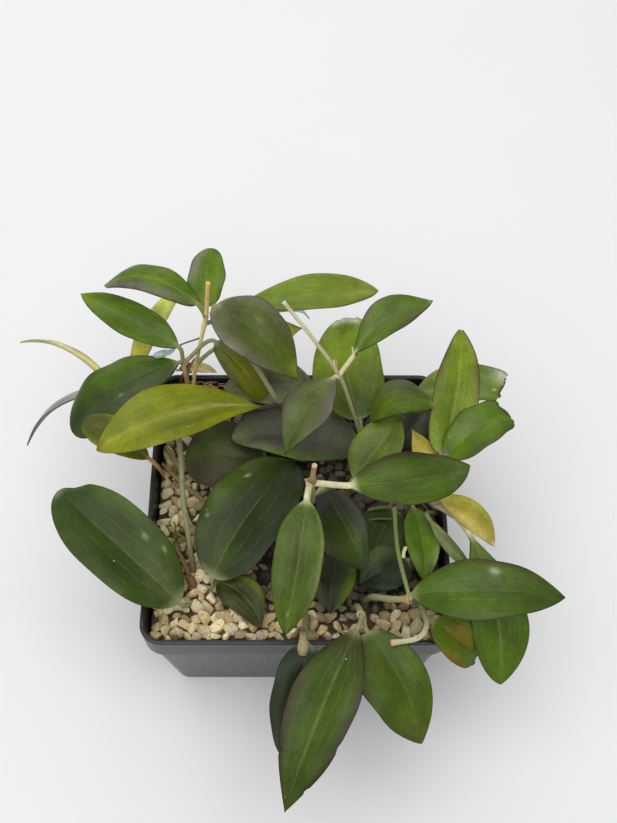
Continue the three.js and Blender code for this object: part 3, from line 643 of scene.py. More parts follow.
# A leaf's middle line as rings from its stem to its tip, with each ring's place along, which is -1 at
# the stem, 0 where the blade begins and 1 at the tip, and each ring's side and face directions. The
# stalk is a cubic that leaves the stem along its own line and meets the blade along the blade's. The
# blade bows by arch and sway in a parabola.
def leafSpine(leaf):
    stem, base, tip = (np.array(leaf[key], float) for key in ("node", "base", "tip"))
    arch, sway, skew, roll = leaf["arch"], leaf["sway"], leaf["skew"], np.radians(leaf["roll"])
    length = np.linalg.norm(tip - base)
    forward = (tip - base) / length
    flatSide = unit(np.cross(forward, (0, 0, 1)))
    flatFace = np.cross(flatSide, forward)
    side = np.cos(roll) * flatSide - np.sin(roll) * flatFace
    face = np.cos(roll) * flatFace + np.sin(roll) * flatSide

    u = np.linspace(0, 1, leafBuild["bladeRows"])
    t = 0.45 * u + 0.55 * (1 - np.cos(np.pi * u)) / 2      # closer rings towards both ends
    bell = 4 * t * (1 - t)
    hookFrom = leafBuild["hookFrom"]
    hook = leaf["hook"] * np.clip((t - hookFrom) / (1 - hookFrom), 0, 1) ** 2
    blade = (base + np.outer(t * length, forward)
             + np.outer(arch * bell * (1 + skew * (2 * t - 1)), face)
             + np.outer(sway * bell + hook, side))
    if stem[2] < leafBuild["rootedBelow"]:
        stem = stem - (0, 0, leafBuild["rootDepth"])
    s = np.linspace(0, 1, leafBuild["petioleRows"], endpoint=False)[:, None]
    bladeStart = unit(length * forward + 4 * arch * (1 - skew) * face + 4 * sway * side)
    stalk = cubic(stem, base, base - stem, bladeStart * np.linalg.norm(base - stem) * 0.9, s)
    centre = np.vstack([stalk, blade])
    along = np.concatenate([s[:, 0] - 1, t])

    onBlade = rise(along, -0.25, 0.15)[:, None]
    run = unit(np.gradient(centre, axis=0))
    square = side - (run @ side)[:, None] * run
    sides = unit(blend(unit(square), side, onBlade))
    faces = unit(blend(np.cross(sides, run), face, onBlade))
    return centre, along, forward, sides, faces


# A blade's half widths right and left of the midrib: the outline times the width, wavering, bitten,
# widened or narrowed by shares, and never less than the stalk's radius near the base.
def leafHalves(leaf, along, shape, draw):
    tt = np.clip(along, 0, 1)
    least = np.maximum(leaf["stalkRadius"] * (1 - tt * 3), leafBuild["thinnest"])
    least = np.where(along < 0, leaf["stalkRadius"], least) * (1 + 0.3 * rise(along, -0.75, -1))
    flatEnd = leaf["endHalf"] * rise(tt, 0.7, 1)
    shareLeft, shareRight = leaf["shares"]
    halves = []
    for sign, share in ((1, shareRight), (-1, shareLeft)):
        uneven = 1 + leafBuild["waver"] * wander(tt, 0.0, draw, 5, 2.6) * rise(tt, 0, 0.2)
        for biteSide, place, size, depth in leaf["bites"]:
            if biteSide == sign:
                uneven = uneven * (1 - depth * np.clip(1.6 - np.abs(tt - place) / size, 0, 1))
        halves.append(np.hypot(np.maximum(leaf["width"] / 2 * shape * uneven * share, least), flatEnd))
    return halves[0], halves[1], least


# How far each point of a blade stands off its middle surface: half the thickness of a flat oval,
# grooved above over the veins and ribbed below under the midrib, quilted, cupped, folded along the
# midrib, pillowed on both sides of it and rippled along the margins.
def leafRelief(leaf, along, shape, a, up, half, least, draw):
    build = leafBuild
    tt = np.clip(along, 0, 1)
    flat = rise(tt, 0, build["flatFrom"])
    depth = blend(build["ribThickness"] / 2, build["bladeThickness"] / 2, flat)
    depth = blend(depth * leaf["stalkRadius"] / build["petioleRadius"], depth, flat)
    depth = np.where(along < 0, least, depth)
    depth = depth * (1 - build["thinnerTip"] * tt**3) * np.where(tt > 0.985, 0.6, 1)
    thick = depth[:, None] * (1 - np.abs(a) ** (2 + 1.6 * flat)[:, None]) ** 0.5 * up
    fanned = np.clip(tt / leafPattern["veinFan"], 0, 1) ** leafPattern["fanPower"]
    offRib = np.abs(a) * half
    groove = build["groove"] * np.exp(-(offRib / build["grooveReach"]) ** 2)
    groove = groove * (flat * (1 - 0.7 * tt))[:, None]
    for spot in leafPattern["veinPlaces"][1:]:
        offVein = (np.abs(a) - spot * fanned[:, None]) * half / build["sideGrooveReach"]
        groove = groove + build["sideGroove"] * np.exp(-(offVein**2)) * flat[:, None]
    rib = build["rib"] * np.exp(-(offRib / build["ribReach"]) ** 2)
    rib = rib * (rise(tt, 0, 0.1) * (1 - tt) ** 0.5)[:, None]
    relief = np.where(up > 0, -groove, -rib) * (1 - np.abs(a) ** 8)
    quilt = build["quilt"] * wander(a * 0.5, tt[:, None], draw, 8, 2.2) * flat[:, None]
    wavesRight, wavesLeft = (wander(tt[:, None], 0.0, draw, 4, 3.0) for _ in range(2))
    waves = np.where(a >= 0, wavesRight, wavesLeft)
    lift = (leaf["cup"] * leaf["width"] * shape / 2)[:, None] * np.abs(a) ** 1.5
    swell = build["fold"] * np.abs(a) + build["pillow"] * np.sin(np.pi * np.abs(a))
    lift = lift + half * swell * (flat * rise(tt, 1.02, 0.8))[:, None]
    lift = lift + build["ripple"] * half * np.abs(a) ** 2.5 * waves * rise(tt, 0, 0.2)[:, None]
    return thick + relief + quilt + lift


# A leaf's colours: its own, with its washes laid over as soft oval patches, clouded, greyer
# underneath, and the stalk's colour up to the base of the blade.
def leafTint(leaf, along, a, up, draw):
    tt = np.clip(along, 0, 1)[:, None]
    sheen = leafBuild["sheen"]
    light = np.broadcast_to(asLight(leaf["colour"], sheen), (len(along), a.shape[1], 3))
    for spot, place, spreadAcross, spreadAlong, colour, strength in leaf["washes"]:
        off = ((a - spot) / spreadAcross) ** 2 + ((tt - place) / spreadAlong) ** 2
        light = blend(light, asLight(colour, sheen), (strength * np.exp(-off))[..., None])
    light = light * (1 + leafBuild["cloud"] * wander(a * 0.6, tt * 1.4, draw, 7, 1.5))[..., None]
    # shade: the leaf's own tone, with painted light on leaves that lie in the plant's shadow.
    light = np.maximum(light * leaf["shade"], 0.003)
    under = np.clip(-up, 0, 1) * (1 - np.abs(a) ** 6) * leafBuild["underside"]
    light = blend(light, asLight("greyGreen"), under[..., None])
    onStalk = (1 - rise(along, -0.02, 0.07))[:, None, None]
    return blend(light, asLight(leaf["stalk"], sheen), onStalk)


# One leaf as rings from its stem to its tip. Each ring runs from the right margin over the top to the
# left margin and back underneath: a is the place across, from 1 to -1, with points closer at the
# margins, and up is 1 above and -1 below.
def leafSkin(leaf, draw):
    leaf = {**usualLeaf, **leaf}
    centre, along, forward, sides, faces = leafSpine(leaf)
    columns = 2 * int(np.ceil(leaf["width"] / leafBuild["columnWidth"])) + leafBuild["leastColumns"]
    angle = np.pi / 2 * np.linspace(1, -1, columns)
    a = np.concatenate([np.sin(angle), np.sin(angle[1:-1])[::-1]])[None, :]
    up = np.concatenate([np.ones(columns), -np.ones(columns - 2)])[None, :]
    tt = np.clip(along, 0, 1)
    shape = outline(tt, leaf["form"])
    halfRight, halfLeft, least = leafHalves(leaf, along, shape, draw)
    half = np.where(a >= 0, halfRight[:, None], halfLeft[:, None])
    height = leafRelief(leaf, along, shape, a, up, half, least, draw)
    torn = leaf["ragged"] * wander(a * 2, 0.0, draw, 5, 2.5) + leaf["slant"] * a
    torn = torn * (tt**10)[:, None]
    points = (centre[:, None, :] + (half * a)[..., None] * sides[:, None, :]
              + height[..., None] * faces[:, None, :] - torn[..., None] * forward)
    place = np.stack(np.broadcast_arrays(a, along[:, None], half), -1)
    habit = np.broadcast_to(np.array(leaf["habit"], float), place.shape)
    tint = asTint(leafTint(leaf, along, a, up, draw))
    return points, {"tint": tint, "place": place.reshape(-1, 3), "habit": habit.reshape(-1, 3)}


# Each leaf as a piece of its own, in the finish of its tone.
def makeLeaves():
    finishes = {name: leafMaterial(name, look) for name, look in leafFinish.items()}
    for number, leaf in enumerate(leaves):
        tone = next((tone for tone, names in toneOfLeaf.items() if leaf["name"] in names), "green")
        points, layers = leafSkin(leaf, np.random.default_rng(100 + number))
        makePiece("fine_leaf_of_" + leaf["name"], points, skinFaces(*points.shape[:2]),
                  finishes["fine_leaf_" + tone], ["leaf_" + leaf["name"]], layers)
    print("leaves:", len(leaves))


# ---- stems

stemBuild = {
    "sides": 20,
    "stepsEach": 14,         # rings between two points of a run
    "lumps": 0.05,           # unevenness of the radius, as a share of it
    "lumpLength": 14,
    "narrowing": 0.06,       # a run grows thinner over this share of its length
    "rootedBelow": 79,       # a run that starts lower than this grows out of the pumice
    "rootDepth": 8,
    "sheen": 0.012,
}
stemLook = {
    "lines": (900.0, 900.0, 120.0),      # pattern scales, per metre
    "patches": 330.0,
    "patchStrength": 0.4,
    "pores": 1500.0,
    "pore": (90, 70, 48),
    "poreStrength": 0.4,
    "roughness": 0.55,
    "relief": (0.6, 0.0003),             # strength, and depth in metres
}
tubeEnds = {   # the last rings of a tube: how far out and how wide, as shares of its radius
    "cut": ((0.12, 0.9), (0.05, 0.62), (-0.35, 0.3)),
    "round": ((0.35, 0.8), (0.6, 0.45), (0.7, 0.15)),
}

# Each run is a tube through its points. swells are (run, share of the run, reach in mm, growth of
# the radius), thin is (run, share, factor) of where a run grows thinner, washes are (run, share,
# spread in mm, colour, strength), and shade brightens or darkens the whole stem.
stems = {
    "back_left": dict(radius=1.02, colour="straw", shade=1.7, runs=[
        [(-57, 69, 78.8), (-56, 71, 84), (-51, 74, 112), (-46, 78, 135), (-43, 79, 162)],
        [(-58, 68, 78.8), (-59, 68, 88), (-59, 67, 109)]],
        swells=[(0, 0.68, 3, 0.35), (1, 1.0, 3, 0.4), (0, 0.75, 2.5, 0.45)],
        washes=[(0, 0.95, 13, "dryTan", 0.9), (0, 0.0, 9, "bark", 0.6), (0, 0.76, 2.5, "stemOlive", 0.6),
                (0, 0.5, 12, "stemGrey", 0.7), (1, 0.6, 14, "stemGreen", 0.8)]),
    "left": dict(radius=1.35, colour="stemGreen", shade=0.78, runs=[
        [(-51, -39, 78.8), (-53, -24, 90), (-56, -6, 99), (-59, 23, 106), (-65, 38, 107),
         (-78, 49, 101), (-89, 58, 93)]],
        swells=[(0, 0.0, 9, 0.5), (0, 1.0, 3, 0.3), (0, 0.62, 2.5, 0.2)],
        washes=[(0, 0.05, 7, "rust", 0.6), (0, 0.0, 5, "bark", 0.8), (0, 0.8, 22, "stemGrey", 0.6)]),
    "back": dict(radius=1.15, colour="stemGrey", shade=0.65, runs=[
        [(-3, 52, 78.8), (-7, 47, 97), (-10, 45, 107), (-20, 54, 124), (-31, 66, 136), (-42, 72, 146)]],
        swells=[(0, 0.4, 3, 0.4), (0, 1.0, 3, 0.3)],
        washes=[(0, 0.5, 12, "cream", 0.5), (0, 0.42, 2.5, "bark", 0.5)]),
    "centre": dict(radius=1.0, colour="stemGrey", shade=1.15, runs=[
        [(37, 32, 78.8), (28, 40.8, 104.5), (20.5, 49, 126), (7, 61, 142), (-6.7, 72, 156)]],
        swells=[(0, 0.5, 3, 0.45), (0, 1.0, 2, 0.15)],
        washes=[(0, 0.85, 20, "cream", 0.6), (0, 0.5, 2, "bark", 0.5), (0, 0.2, 14, "stemOlive", 0.6),
                (0, 1.0, 1.2, "cream", 0.9)]),
    "middle": dict(radius=1.6, colour="stemGreen", runs=[
        [(7, -13, 78.8), (7, -14, 110), (7, -19, 144), (8, -17, 157)]],
        swells=[(0, 0.67, 3, 0.6), (0, 0.34, 3, 0.4), (0, 1.0, 2, 0.1)],
        thin=[(0, 0.72, 0.72)],
        washes=[(0, 0.95, 10, (172, 122, 88), 0.95), (0, 0.72, 2.5, "rust", 0.85),
                (0, 1.0, 1.2, "cream", 0.6)]),
    "front_right": dict(radius=1.6, colour="stemGreen", runs=[
        [(32, -49, 78.8), (36, -52, 87), (44, -56, 95), (53, -58, 100)],
        [(53, -58, 100), (47.6, -37, 108), (46.4, -17, 112)]],
        swells=[(0, 1.0, 3.5, 0.5), (1, 1.0, 2, 0.1)],
        thin=[(1, 0.0, 0.62)],
        washes=[(0, 1.0, 4, "dryTan", 0.8), (1, 0.55, 26, (116, 126, 62), 0.95),
                (1, 0, 3, "cream", 0.5)]),
    "right_edge": dict(radius=1.6, colour="stemGreen", shade=0.85, runs=[
        [(62, 11, 78.8), (64, 2, 88), (68, -7, 96), (77, -15, 100)]],
        swells=[(0, 0.66, 3, 0.35), (0, 1.0, 3, 0.2)],
        washes=[(0, 0.9, 14, "cream", 0.7), (0, 0.66, 2.5, "bark", 0.5)]),
    "front": dict(radius=1.8, colour="stemGreen", shade=0.72, runs=[
        [(5, -53, 78.8), (4, -70, 93), (3, -83, 99)],
        [(3, -84, 98.6), (3, -80, 103), (3, -76, 109)]],
        swells=[(0, 1.0, 4, 0.4), (1, 0.25, 3, 0.4)],
        thin=[(1, 0.6, 0.8)],
        washes=[(1, 0.5, 9, "straw", 0.9), (1, 1.0, 1.2, "bark", 0.9), (0, 1.0, 4, "straw", 0.8)]),
    "right": dict(radius=1.4, colour="stemGreen", runs=[
        [(68, 35, 78.8), (69, 36, 88), (71, 37, 98), (71, 36, 116)],
        [(71, 37, 98), (71, 25, 104), (71, 11, 107)]],
        swells=[(0, 0.66, 3, 0.35), (1, 1.0, 3, 0.35), (0, 1.0, 3, 0.3)],
        washes=[(0, 1.0, 4, "cream", 0.5), (0, 0.0, 6, "bark", 0.5)]),
    "front_2": dict(radius=1.5, colour="stemGreen", runs=[
        [(27, -52, 78.8), (29, -58, 90), (30, -65, 98)]],
        swells=[(0, 1.0, 4, 0.4)],
        washes=[(0, 1.0, 4, "cream", 0.5)]),
    "front_corner": dict(radius=1.3, colour="stemGreen", runs=[
        [(58, -49, 78.8), (59, -55, 85), (60, -61, 90)],
        [(60, -61, 90), (60.5, -69, 96), (56, -76.5, 99.5), (43.4, -79.2, 100)]],
        swells=[(0, 1.0, 3, 0.3), (1, 1.0, 2, 0.15)],
        washes=[(1, 0.7, 14, "cream", 0.7), (1, 1.0, 1.5, "tan", 0.9)]),
}


# A tube round a curve: every ring stands square to the curve, its radius grown at the swellings by
# a bell and made uneven by a few waves, and the last rings close it with a cut or a round end.
def tubeSkin(points, radius, draw, colour, swells=(), thin=(), washes=(), tip="cut",
             sides=stemBuild["sides"], shade=1.0):
    curve = curveThrough(points, stemBuild["stepsEach"])
    length = np.concatenate([[0], np.cumsum(np.linalg.norm(np.diff(curve, axis=0), axis=1))])
    share = np.linspace(0, 1, len(curve))
    run = unit(np.gradient(curve, axis=0))
    steady = np.eye(3)[np.argmin(np.abs(run).mean(0))]      # the axis that the run keeps most square to
    across = unit(np.cross(run, steady))
    upright = np.cross(across, run)
    size = np.full(len(curve), float(radius))
    for place, factor in thin:
        size = size * (1 + (factor - 1) * rise(share, place, place + stemBuild["narrowing"]))
    for place, reach, growth in swells:
        size = size * (1 + growth * np.exp(-(((share - place) * length[-1]) / reach) ** 2))
    angle = np.linspace(0, 2 * np.pi, sides, endpoint=False)
    waves = wander(np.cos(angle)[None, :], length[:, None] / stemBuild["lumpLength"], draw, 6, 1.4)
    lumps = 1 + stemBuild["lumps"] * waves
    rings = (np.cos(angle)[None, :, None] * across[:, None, :]
             + np.sin(angle)[None, :, None] * upright[:, None, :])
    skin = curve[:, None, :] + rings * (size[:, None] * lumps)[..., None]
    closing = [curve[-1] + run[-1] * size[-1] * out + rings[-1] * size[-1] * wide
               for out, wide in tubeEnds[tip]]
    skin = np.concatenate([skin, np.array(closing)])
    light = np.broadcast_to(asLight(colour, stemBuild["sheen"]), (len(skin), 3))
    shares = np.concatenate([share, np.ones(len(closing))])
    for place, spread, wash, strength in washes:
        part = (strength * np.exp(-(((shares - place) * length[-1]) / spread) ** 2))[:, None]
        light = blend(light, asLight(wash, stemBuild["sheen"]), part)
    return skin, {"tint": asTint(np.broadcast_to((light * shade)[:, None, :], skin.shape))}


# Several skins as one piece.
def joinSkins(parts):
    points, faces, tints, count = [], [], [], 0
    for skin, layers in parts:
        faces += skinFaces(*skin.shape[:2], count)
        points.append(skin.reshape(-1, 3))
        tints.append(layers["tint"])
        count += skin.shape[0] * skin.shape[1]
    return np.concatenate(points), faces, {"tint": np.concatenate(tints)}


# Stem finish: the run's own tint with fine lengthwise lines, corky brown patches, dark pores and a
# rough skin.
def stemMaterial():
    material, tree, shader, where = startMaterial("fine_stem")
    look = stemLook
    lines = noise(tree, stretched(tree, where, look["lines"]), 1.0, 3.0)
    patches = fade(tree, noise(tree, where, look["patches"], 4.0, 0.65), 0.56, 0.72)
    pores = fade(tree, noise(tree, where, look["pores"], 2.0), 0.66, 0.72)
    colour = scaled(tree, layerOf(tree, "tint").outputs["Color"], fitted(tree, lines, 0.5, 0.76))
    colour = overlay(tree, colour, patches, look["patchStrength"], "bark")
    colour = overlay(tree, colour, pores, look["poreStrength"], look["pore"])
    shine = fitted(tree, patches, 0.25, look["roughness"])
    relief = fitted(tree, patches, 0.5, calculate(tree, "ADD", lines, noise(tree, where, 1400.0)))
    finishMaterial(tree, shader, colour, shine, relief, *look["relief"])
    return material


# Each stem as one piece of all its runs, of which those that start low are rooted in the pumice.
def makeStems(finish):
    for number, (name, stem) in enumerate(stems.items()):
        draw = np.random.default_rng(300 + number)
        parts = []
        for index, run in enumerate(stem["runs"]):
            points = np.array(run, float)
            if points[0][2] < stemBuild["rootedBelow"]:
                points[0] -= (0, 0, stemBuild["rootDepth"])
            own = {key: [row[1:] for row in stem.get(key, ()) if row[0] == index]
                   for key in ("swells", "thin", "washes")}
            parts.append(tubeSkin(points, stem["radius"], draw, stem["colour"],
                                  shade=stem.get("shade", 1), **own))
        points, faces, layers = joinSkins(parts)
        makePiece("fine_stem_of_" + name, points, faces, finish, ["stem_" + name], layers)
    print("stems:", len(stems))


# ---- roots, buds and dry scraps that lie on the pumice and sit at the nodes

scraps = {
    "tubes": [   # radius, colour, end, points
        (1.0, (130, 118, 70), "round", [(-70, 23, 80.5), (-66.5, 18.8, 82), (-60.1, 11.6, 83),
                                        (-54.8, 7.2, 82.5), (-46.1, 1.3, 80)]),
        (1.2, (134, 122, 76), "round", [(-69, 33, 80), (-64.3, 25.4, 82.5), (-60.6, 18.8, 82),
                                        (-58, 14, 80)]),
        (1.1, (124, 98, 66), "round", [(-60.5, -21, 79.5), (-59.7, -24.3, 81.5), (-57, -30, 82.3),
                                       (-54.1, -36, 81.5), (-53, -38.5, 80)]),
        (2.0, (120, 86, 58), "round", [(-53.5, -39, 79.5), (-51.9, -41.2, 81.5), (-50.5, -43.5, 80)]),
        (0.8, "rust", "round", [(-64, 70.4, 79), (-62, 71.8, 87), (-59, 74, 94), (-57, 73, 99)]),
        (0.7, "dryTan", "round", [(-58, 70.4, 79), (-59, 71.8, 87), (-57, 74.5, 94), (-54, 75, 101)]),
        (0.9, (98, 104, 62), "cut", [(35.5, -5.2, 85), (41, -4.0, 85.4), (47.7, -3.5, 85)]),
        (0.7, (92, 98, 60), "cut", [(35.9, -10.7, 85), (41, -10.0, 85.2), (47.4, -10.1, 85)]),
        (0.5, "bark", "round", [(62, 2, 79), (65, -2, 82), (68, -7, 81), (71, -13, 80)]),
        (0.45, "rust", "round", [(60, -2, 79), (64, -5, 81.5), (67, -11, 82), (69, -15, 79.5)]),
        (0.4, "bark", "round", [(-22, -44, 79), (-19, -47, 82), (-16, -45, 82.5), (-13, -49, 80)]),
        (0.9, "cream", "round", [(50, -40, 107), (50.5, -37, 106.5), (51.5, -34.5, 106)]),
        (0.4, (204, 136, 90), "round", [(20.2, 49, 127.5), (19.4, 51, 129.5), (19, 54.5, 131)]),
        (0.35, "cream", "round", [(19.8, 49.2, 127.5), (18.6, 51, 130), (17.8, 54.2, 131.8)]),
        (0.45, "cream", "round", [(27.6, 56.6, 133), (27.2, 58, 134.4), (27, 59.2, 135.6)]),
        (0.8, "bark", "round", [(28.2, 56.4, 133.4), (29.2, 56.8, 133.7)]),
        (0.7, "tan", "round", [(53, -58, 101), (55, -57, 102.5), (56.5, -56, 103)]),
        (0.6, "dryTan", "round", [(7, -18, 146), (5, -19.5, 148), (4, -20.5, 149.5)]),
        (0.6, "bark", "round", [(8, -18, 145), (10, -17.5, 147.5), (11, -18, 148.5)]),
    ],
    "tubeSides": 12,
    "tufts": [   # count, middle, spread, radius, usual half length along x, y and z, colours
        (34, (-49, 69.4, 82), (8, 1.6, 1.2), 0.2, (3.4, 2.2, 0.8), ("straw", "tan", "dryTan")),
        (18, (-59.5, -17.5, 81.5), (1.9, 2.2, 0.5), 0.42, (0.8, 0.9, 1.1),
         ("olive", "yellowGreen", "oliveGreen")),
    ],
    "tuftSides": 8,
    "tuftBow": 0.35,         # how far a straw bows, as a share of its half length
    "wallAt": 71.4,          # y of the pot's inside at the back, less a straw's thickness
    "blades": [
        dict(node=(-61, 77, 86), base=(-60, 77, 87), tip=(-43.5, 74.5, 88), width=6.5, arch=1.5,
             cup=0.5, colour="straw", washes=[(0.8, 0.5, 0.3, 0.5, "tan", 0.6)]),
        dict(node=(-65, 76.5, 86.3), base=(-64, 76.5, 87), tip=(-56.5, 73, 89.5), width=4, arch=1.2,
             cup=0.9, colour="rust", washes=[(0, 0.5, 0.6, 0.5, "dryTan", 0.6)]),
        dict(node=(68, 44, 97), base=(69, 45, 98), tip=(75, 49, 104), width=4, arch=1, cup=0.5,
             colour="yellow", washes=[(0, 0.6, 0.6, 0.5, "cream", 0.6)]),
    ],
    "bladeLook": {"habit": (0, 0, 0), "stalk": "bark", "stalkRadius": 0.5},
}


# The tubes, then the tufts of short bent straws scattered round their middles and kept inside the
# back wall, then the dry blades, all as one piece.
def makeScraps(finish):
    draw = np.random.default_rng(500)
    parts = [tubeSkin(points, radius, draw, colour, tip=end, sides=scraps["tubeSides"])
             for radius, colour, end, points in scraps["tubes"]]
    for count, middle, spread, radius, reaches, colours in scraps["tufts"]:
        for _ in range(count):
            centre = np.array(middle) + draw.normal(size=3) * spread
            reach = draw.normal(size=3) * reaches
            bow = draw.normal(size=3) * np.array(reaches) * scraps["tuftBow"]
            path = np.array([centre - reach, centre + bow, centre + reach])
            path[:, 1] = np.minimum(path[:, 1], scraps["wallAt"])
            colour = colours[draw.integers(len(colours))]
            parts.append(tubeSkin(path, radius, draw, colour, tip="round", sides=scraps["tuftSides"]))
    for blade in scraps["blades"]:
        parts.append(leafSkin({**blade, **scraps["bladeLook"]}, draw))
    points, faces, layers = joinSkins(parts)
    makePiece("roots_and_dry_scraps", points, faces, finish, (), layers)
    print("scraps:", len(parts))


# ---- pumice

pumiceBuild = {
    "level": 77.0,
    "halfWidth": 70.6,         # room inside the pot at the level of the stones
    "pitch": 4.9,              # mean spacing of the stones
    "jitter": 0.22,            # how far they lie from an even grid, as a share of the pitch
    "smallest": 1.9,           # radii
    "largest": 4.9,
    "sizeMix": (1.6, 2.6),     # beta curve between them, with more small stones than large ones
    "heap": (-42, -47, 14, 0.35),   # where the stones are larger: x, y, reach and growth
    "sunk": 0.25,              # a stone's middle lies this share of its radius below the level
    "unevenness": (-2.2, 1.0),      # and this far below or above that
    "settling": 40,            # rounds of pushing stones off one another
    "nesting": 0.8,            # stones may touch closer than their radii by this factor
    "push": 0.35,              # share of an overlap that a round takes away, less of it upwards
    "lift": 0.6,
    "fallBack": 0.2,           # share of the way back to its own height in a round
    "wallGap": 0.9,            # a stone's middle keeps this share of its radius off the walls
    "axes": ((1.0, 1.3), (0.78, 1.0), (0.6, 0.85)),   # each stone's length, width and thickness
    "cuts": 3,                 # faces along each side of the ball that a stone is made from
    "facets": 12,              # flat places on each stone, this far from its middle
    "facetDepth": (0.45, 0.8),
    "fullness": 1.2,           # makes up for what the flat places take
    "dents": 0.02,
    "bedBumps": 0.9,
    "bedRoughness": 0.002,     # unevenness of the bed's sides, as a share of its width
    "colours": ((222, 206, 162), (206, 188, 140), (232, 218, 180), (190, 168, 122), (214, 192, 146)),
    "brightness": (0.82, 1.5),
    # soil is the colour of dark soil and also of painted shade under the leaves
    "soilAndShadeColour": (42, 36, 36),
    "soilAndShadeCover": (0.82, 1),   # how fully soil and painted shade darken a stone that lies in them
    "bed": (86, 70, 50),
}
pumiceLook = {
    "blotches": 500.0,         # pattern scales, per metre
    "pores": 1500.0,
    "pore": (96, 76, 52),
    "poreStrength": 0.5,
    "rustSpots": 700.0,
    "rustSpot": (150, 104, 60),
    "rustStrength": 0.4,
    "grain": 900.0,
    "roughness": 0.92,
    "relief": (0.9, 0.0006),   # strength, and depth in metres
}


# The points and faces of a ball made from a cube with cuts by cuts faces on each side: each point
# of the cube is moved along its own direction onto the ball.
def cubeBall(cuts):
    grid = np.arange(cuts + 1)
    lattice = np.array([(x, y, z) for x in grid for y in grid for z in grid
                        if min(x, y, z) == 0 or max(x, y, z) == cuts])
    index = {tuple(point): number for number, point in enumerate(lattice)}
    faces = []
    for axis in range(3):
        b, c = (axis + 1) % 3, (axis + 2) % 3
        for level, turned in ((0, True), (cuts, False)):
            for i in range(cuts):
                for j in range(cuts):
                    corners = []
                    for di, dj in ((0, 0), (1, 0), (1, 1), (0, 1)):
                        corner = [0, 0, 0]
                        corner[axis], corner[b], corner[c] = level, i + di, j + dj
                        corners.append(index[tuple(corner)])
                    faces.append(corners[::-1] if turned else corners)
    return unit(lattice - cuts / 2), np.array(faces)


# Turning matrices from random unit quaternions.
def randomTurns(count, draw):
    w, x, y, z = unit(draw.normal(size=(count, 4))).T
    rows = [1 - 2 * (y * y + z * z), 2 * (x * y - w * z), 2 * (x * z + w * y),
            2 * (x * y + w * z), 1 - 2 * (x * x + z * z), 2 * (y * z - w * x),
            2 * (x * z - w * y), 2 * (y * z + w * x), 1 - 2 * (x * x + y * y)]
    return np.stack(rows, -1).reshape(-1, 3, 3)


# Pumice finish: each stone its own tan, blotched, with small round pores and rusty spots.
def pumiceMaterial(name):
    material, tree, shader, where = startMaterial(name)
    look = pumiceLook
    cells = node(tree, "ShaderNodeTexVoronoi", {"Vector": where, "Scale": look["pores"]})
    pores = fade(tree, cells.outputs["Distance"], 0.34, 0.14)
    rustSpots = fade(tree, noise(tree, where, look["rustSpots"], 3.0), 0.62, 0.74)
    blotches = fitted(tree, noise(tree, where, look["blotches"], 5.0, 0.65), 0.9, 0.55)
    colour = scaled(tree, layerOf(tree, "tint").outputs["Color"], blotches)
    colour = overlay(tree, colour, pores, look["poreStrength"], look["pore"])
    colour = overlay(tree, colour, rustSpots, look["rustStrength"], look["rustSpot"])
    relief = fitted(tree, pores, -0.6, noise(tree, where, look["grain"], 5.0, 0.7))
    finishMaterial(tree, shader, colour, look["roughness"], relief, *look["relief"])
    return material


# How dark the stones are made, part soil and part painted shade: darkened inwards of a slanting left and
# front edge, where the leaves shade them, clean outside those, and a little darkened along the left wall
# towards the back, as painted shade under the leaves above.
def soiledAndShaded(x, y):
    pastLeft = rise(x + 0.15 * y, -36, -22)
    pastFront = rise(y - 0.1 * x + 12 * rise(x, 0, 16), -53, -42)
    leftWall = (0.14 * rise(y, -38, -26) + 0.24 * rise(y, 20, 34)) * rise(x, -30, -44)
    return np.maximum(0.97 * pastLeft * pastFront, leftWall)


# The stones' middles and radii: a jittered grid of balls of mixed sizes, larger in the heap, each
# drawn back to its own height and pushed off its neighbours and the walls, round after round.
def settledStones(draw):
    build = pumiceBuild
    room, pitch = build["halfWidth"], build["pitch"]
    steps = int(2 * room / pitch)
    line = (np.arange(steps) + 0.5) * 2 * room / steps - room
    x, y = (axis.ravel() for axis in np.meshgrid(line, line))
    count = len(x)
    spots = np.stack([x, y, np.zeros_like(x)], -1) + draw.normal(0, pitch * build["jitter"], (count, 3))
    radii = build["smallest"] + (build["largest"] - build["smallest"]) * draw.beta(*build["sizeMix"], count)
    heapX, heapY, reach, growth = build["heap"]
    fromHeap = (spots[:, 0] - heapX) ** 2 + (spots[:, 1] - heapY) ** 2
    radii = radii * (1 + growth * np.exp(-fromHeap / reach**2))
    wanted = build["level"] - radii * build["sunk"] + draw.uniform(*build["unevenness"], count)
    spots[:, 2] = wanted
    for _ in range(build["settling"]):
        gaps = spots[:, None, :] - spots[None, :, :]
        apart = np.linalg.norm(gaps, axis=-1) + np.eye(count) * 1e6 + 1e-6      # none meets itself
        overlap = np.clip((radii[:, None] + radii[None, :]) * build["nesting"] - apart, 0, None)
        pushes = gaps * (overlap / apart * build["push"])[..., None]
        spots += pushes.sum(1) * (1, 1, build["lift"])
        spots[:, 2] += (wanted - spots[:, 2]) * build["fallBack"]
        limit = (room - radii * build["wallGap"])[:, None]
        spots[:, :2] = np.clip(spots[:, :2], -limit, limit)
    return spots, radii


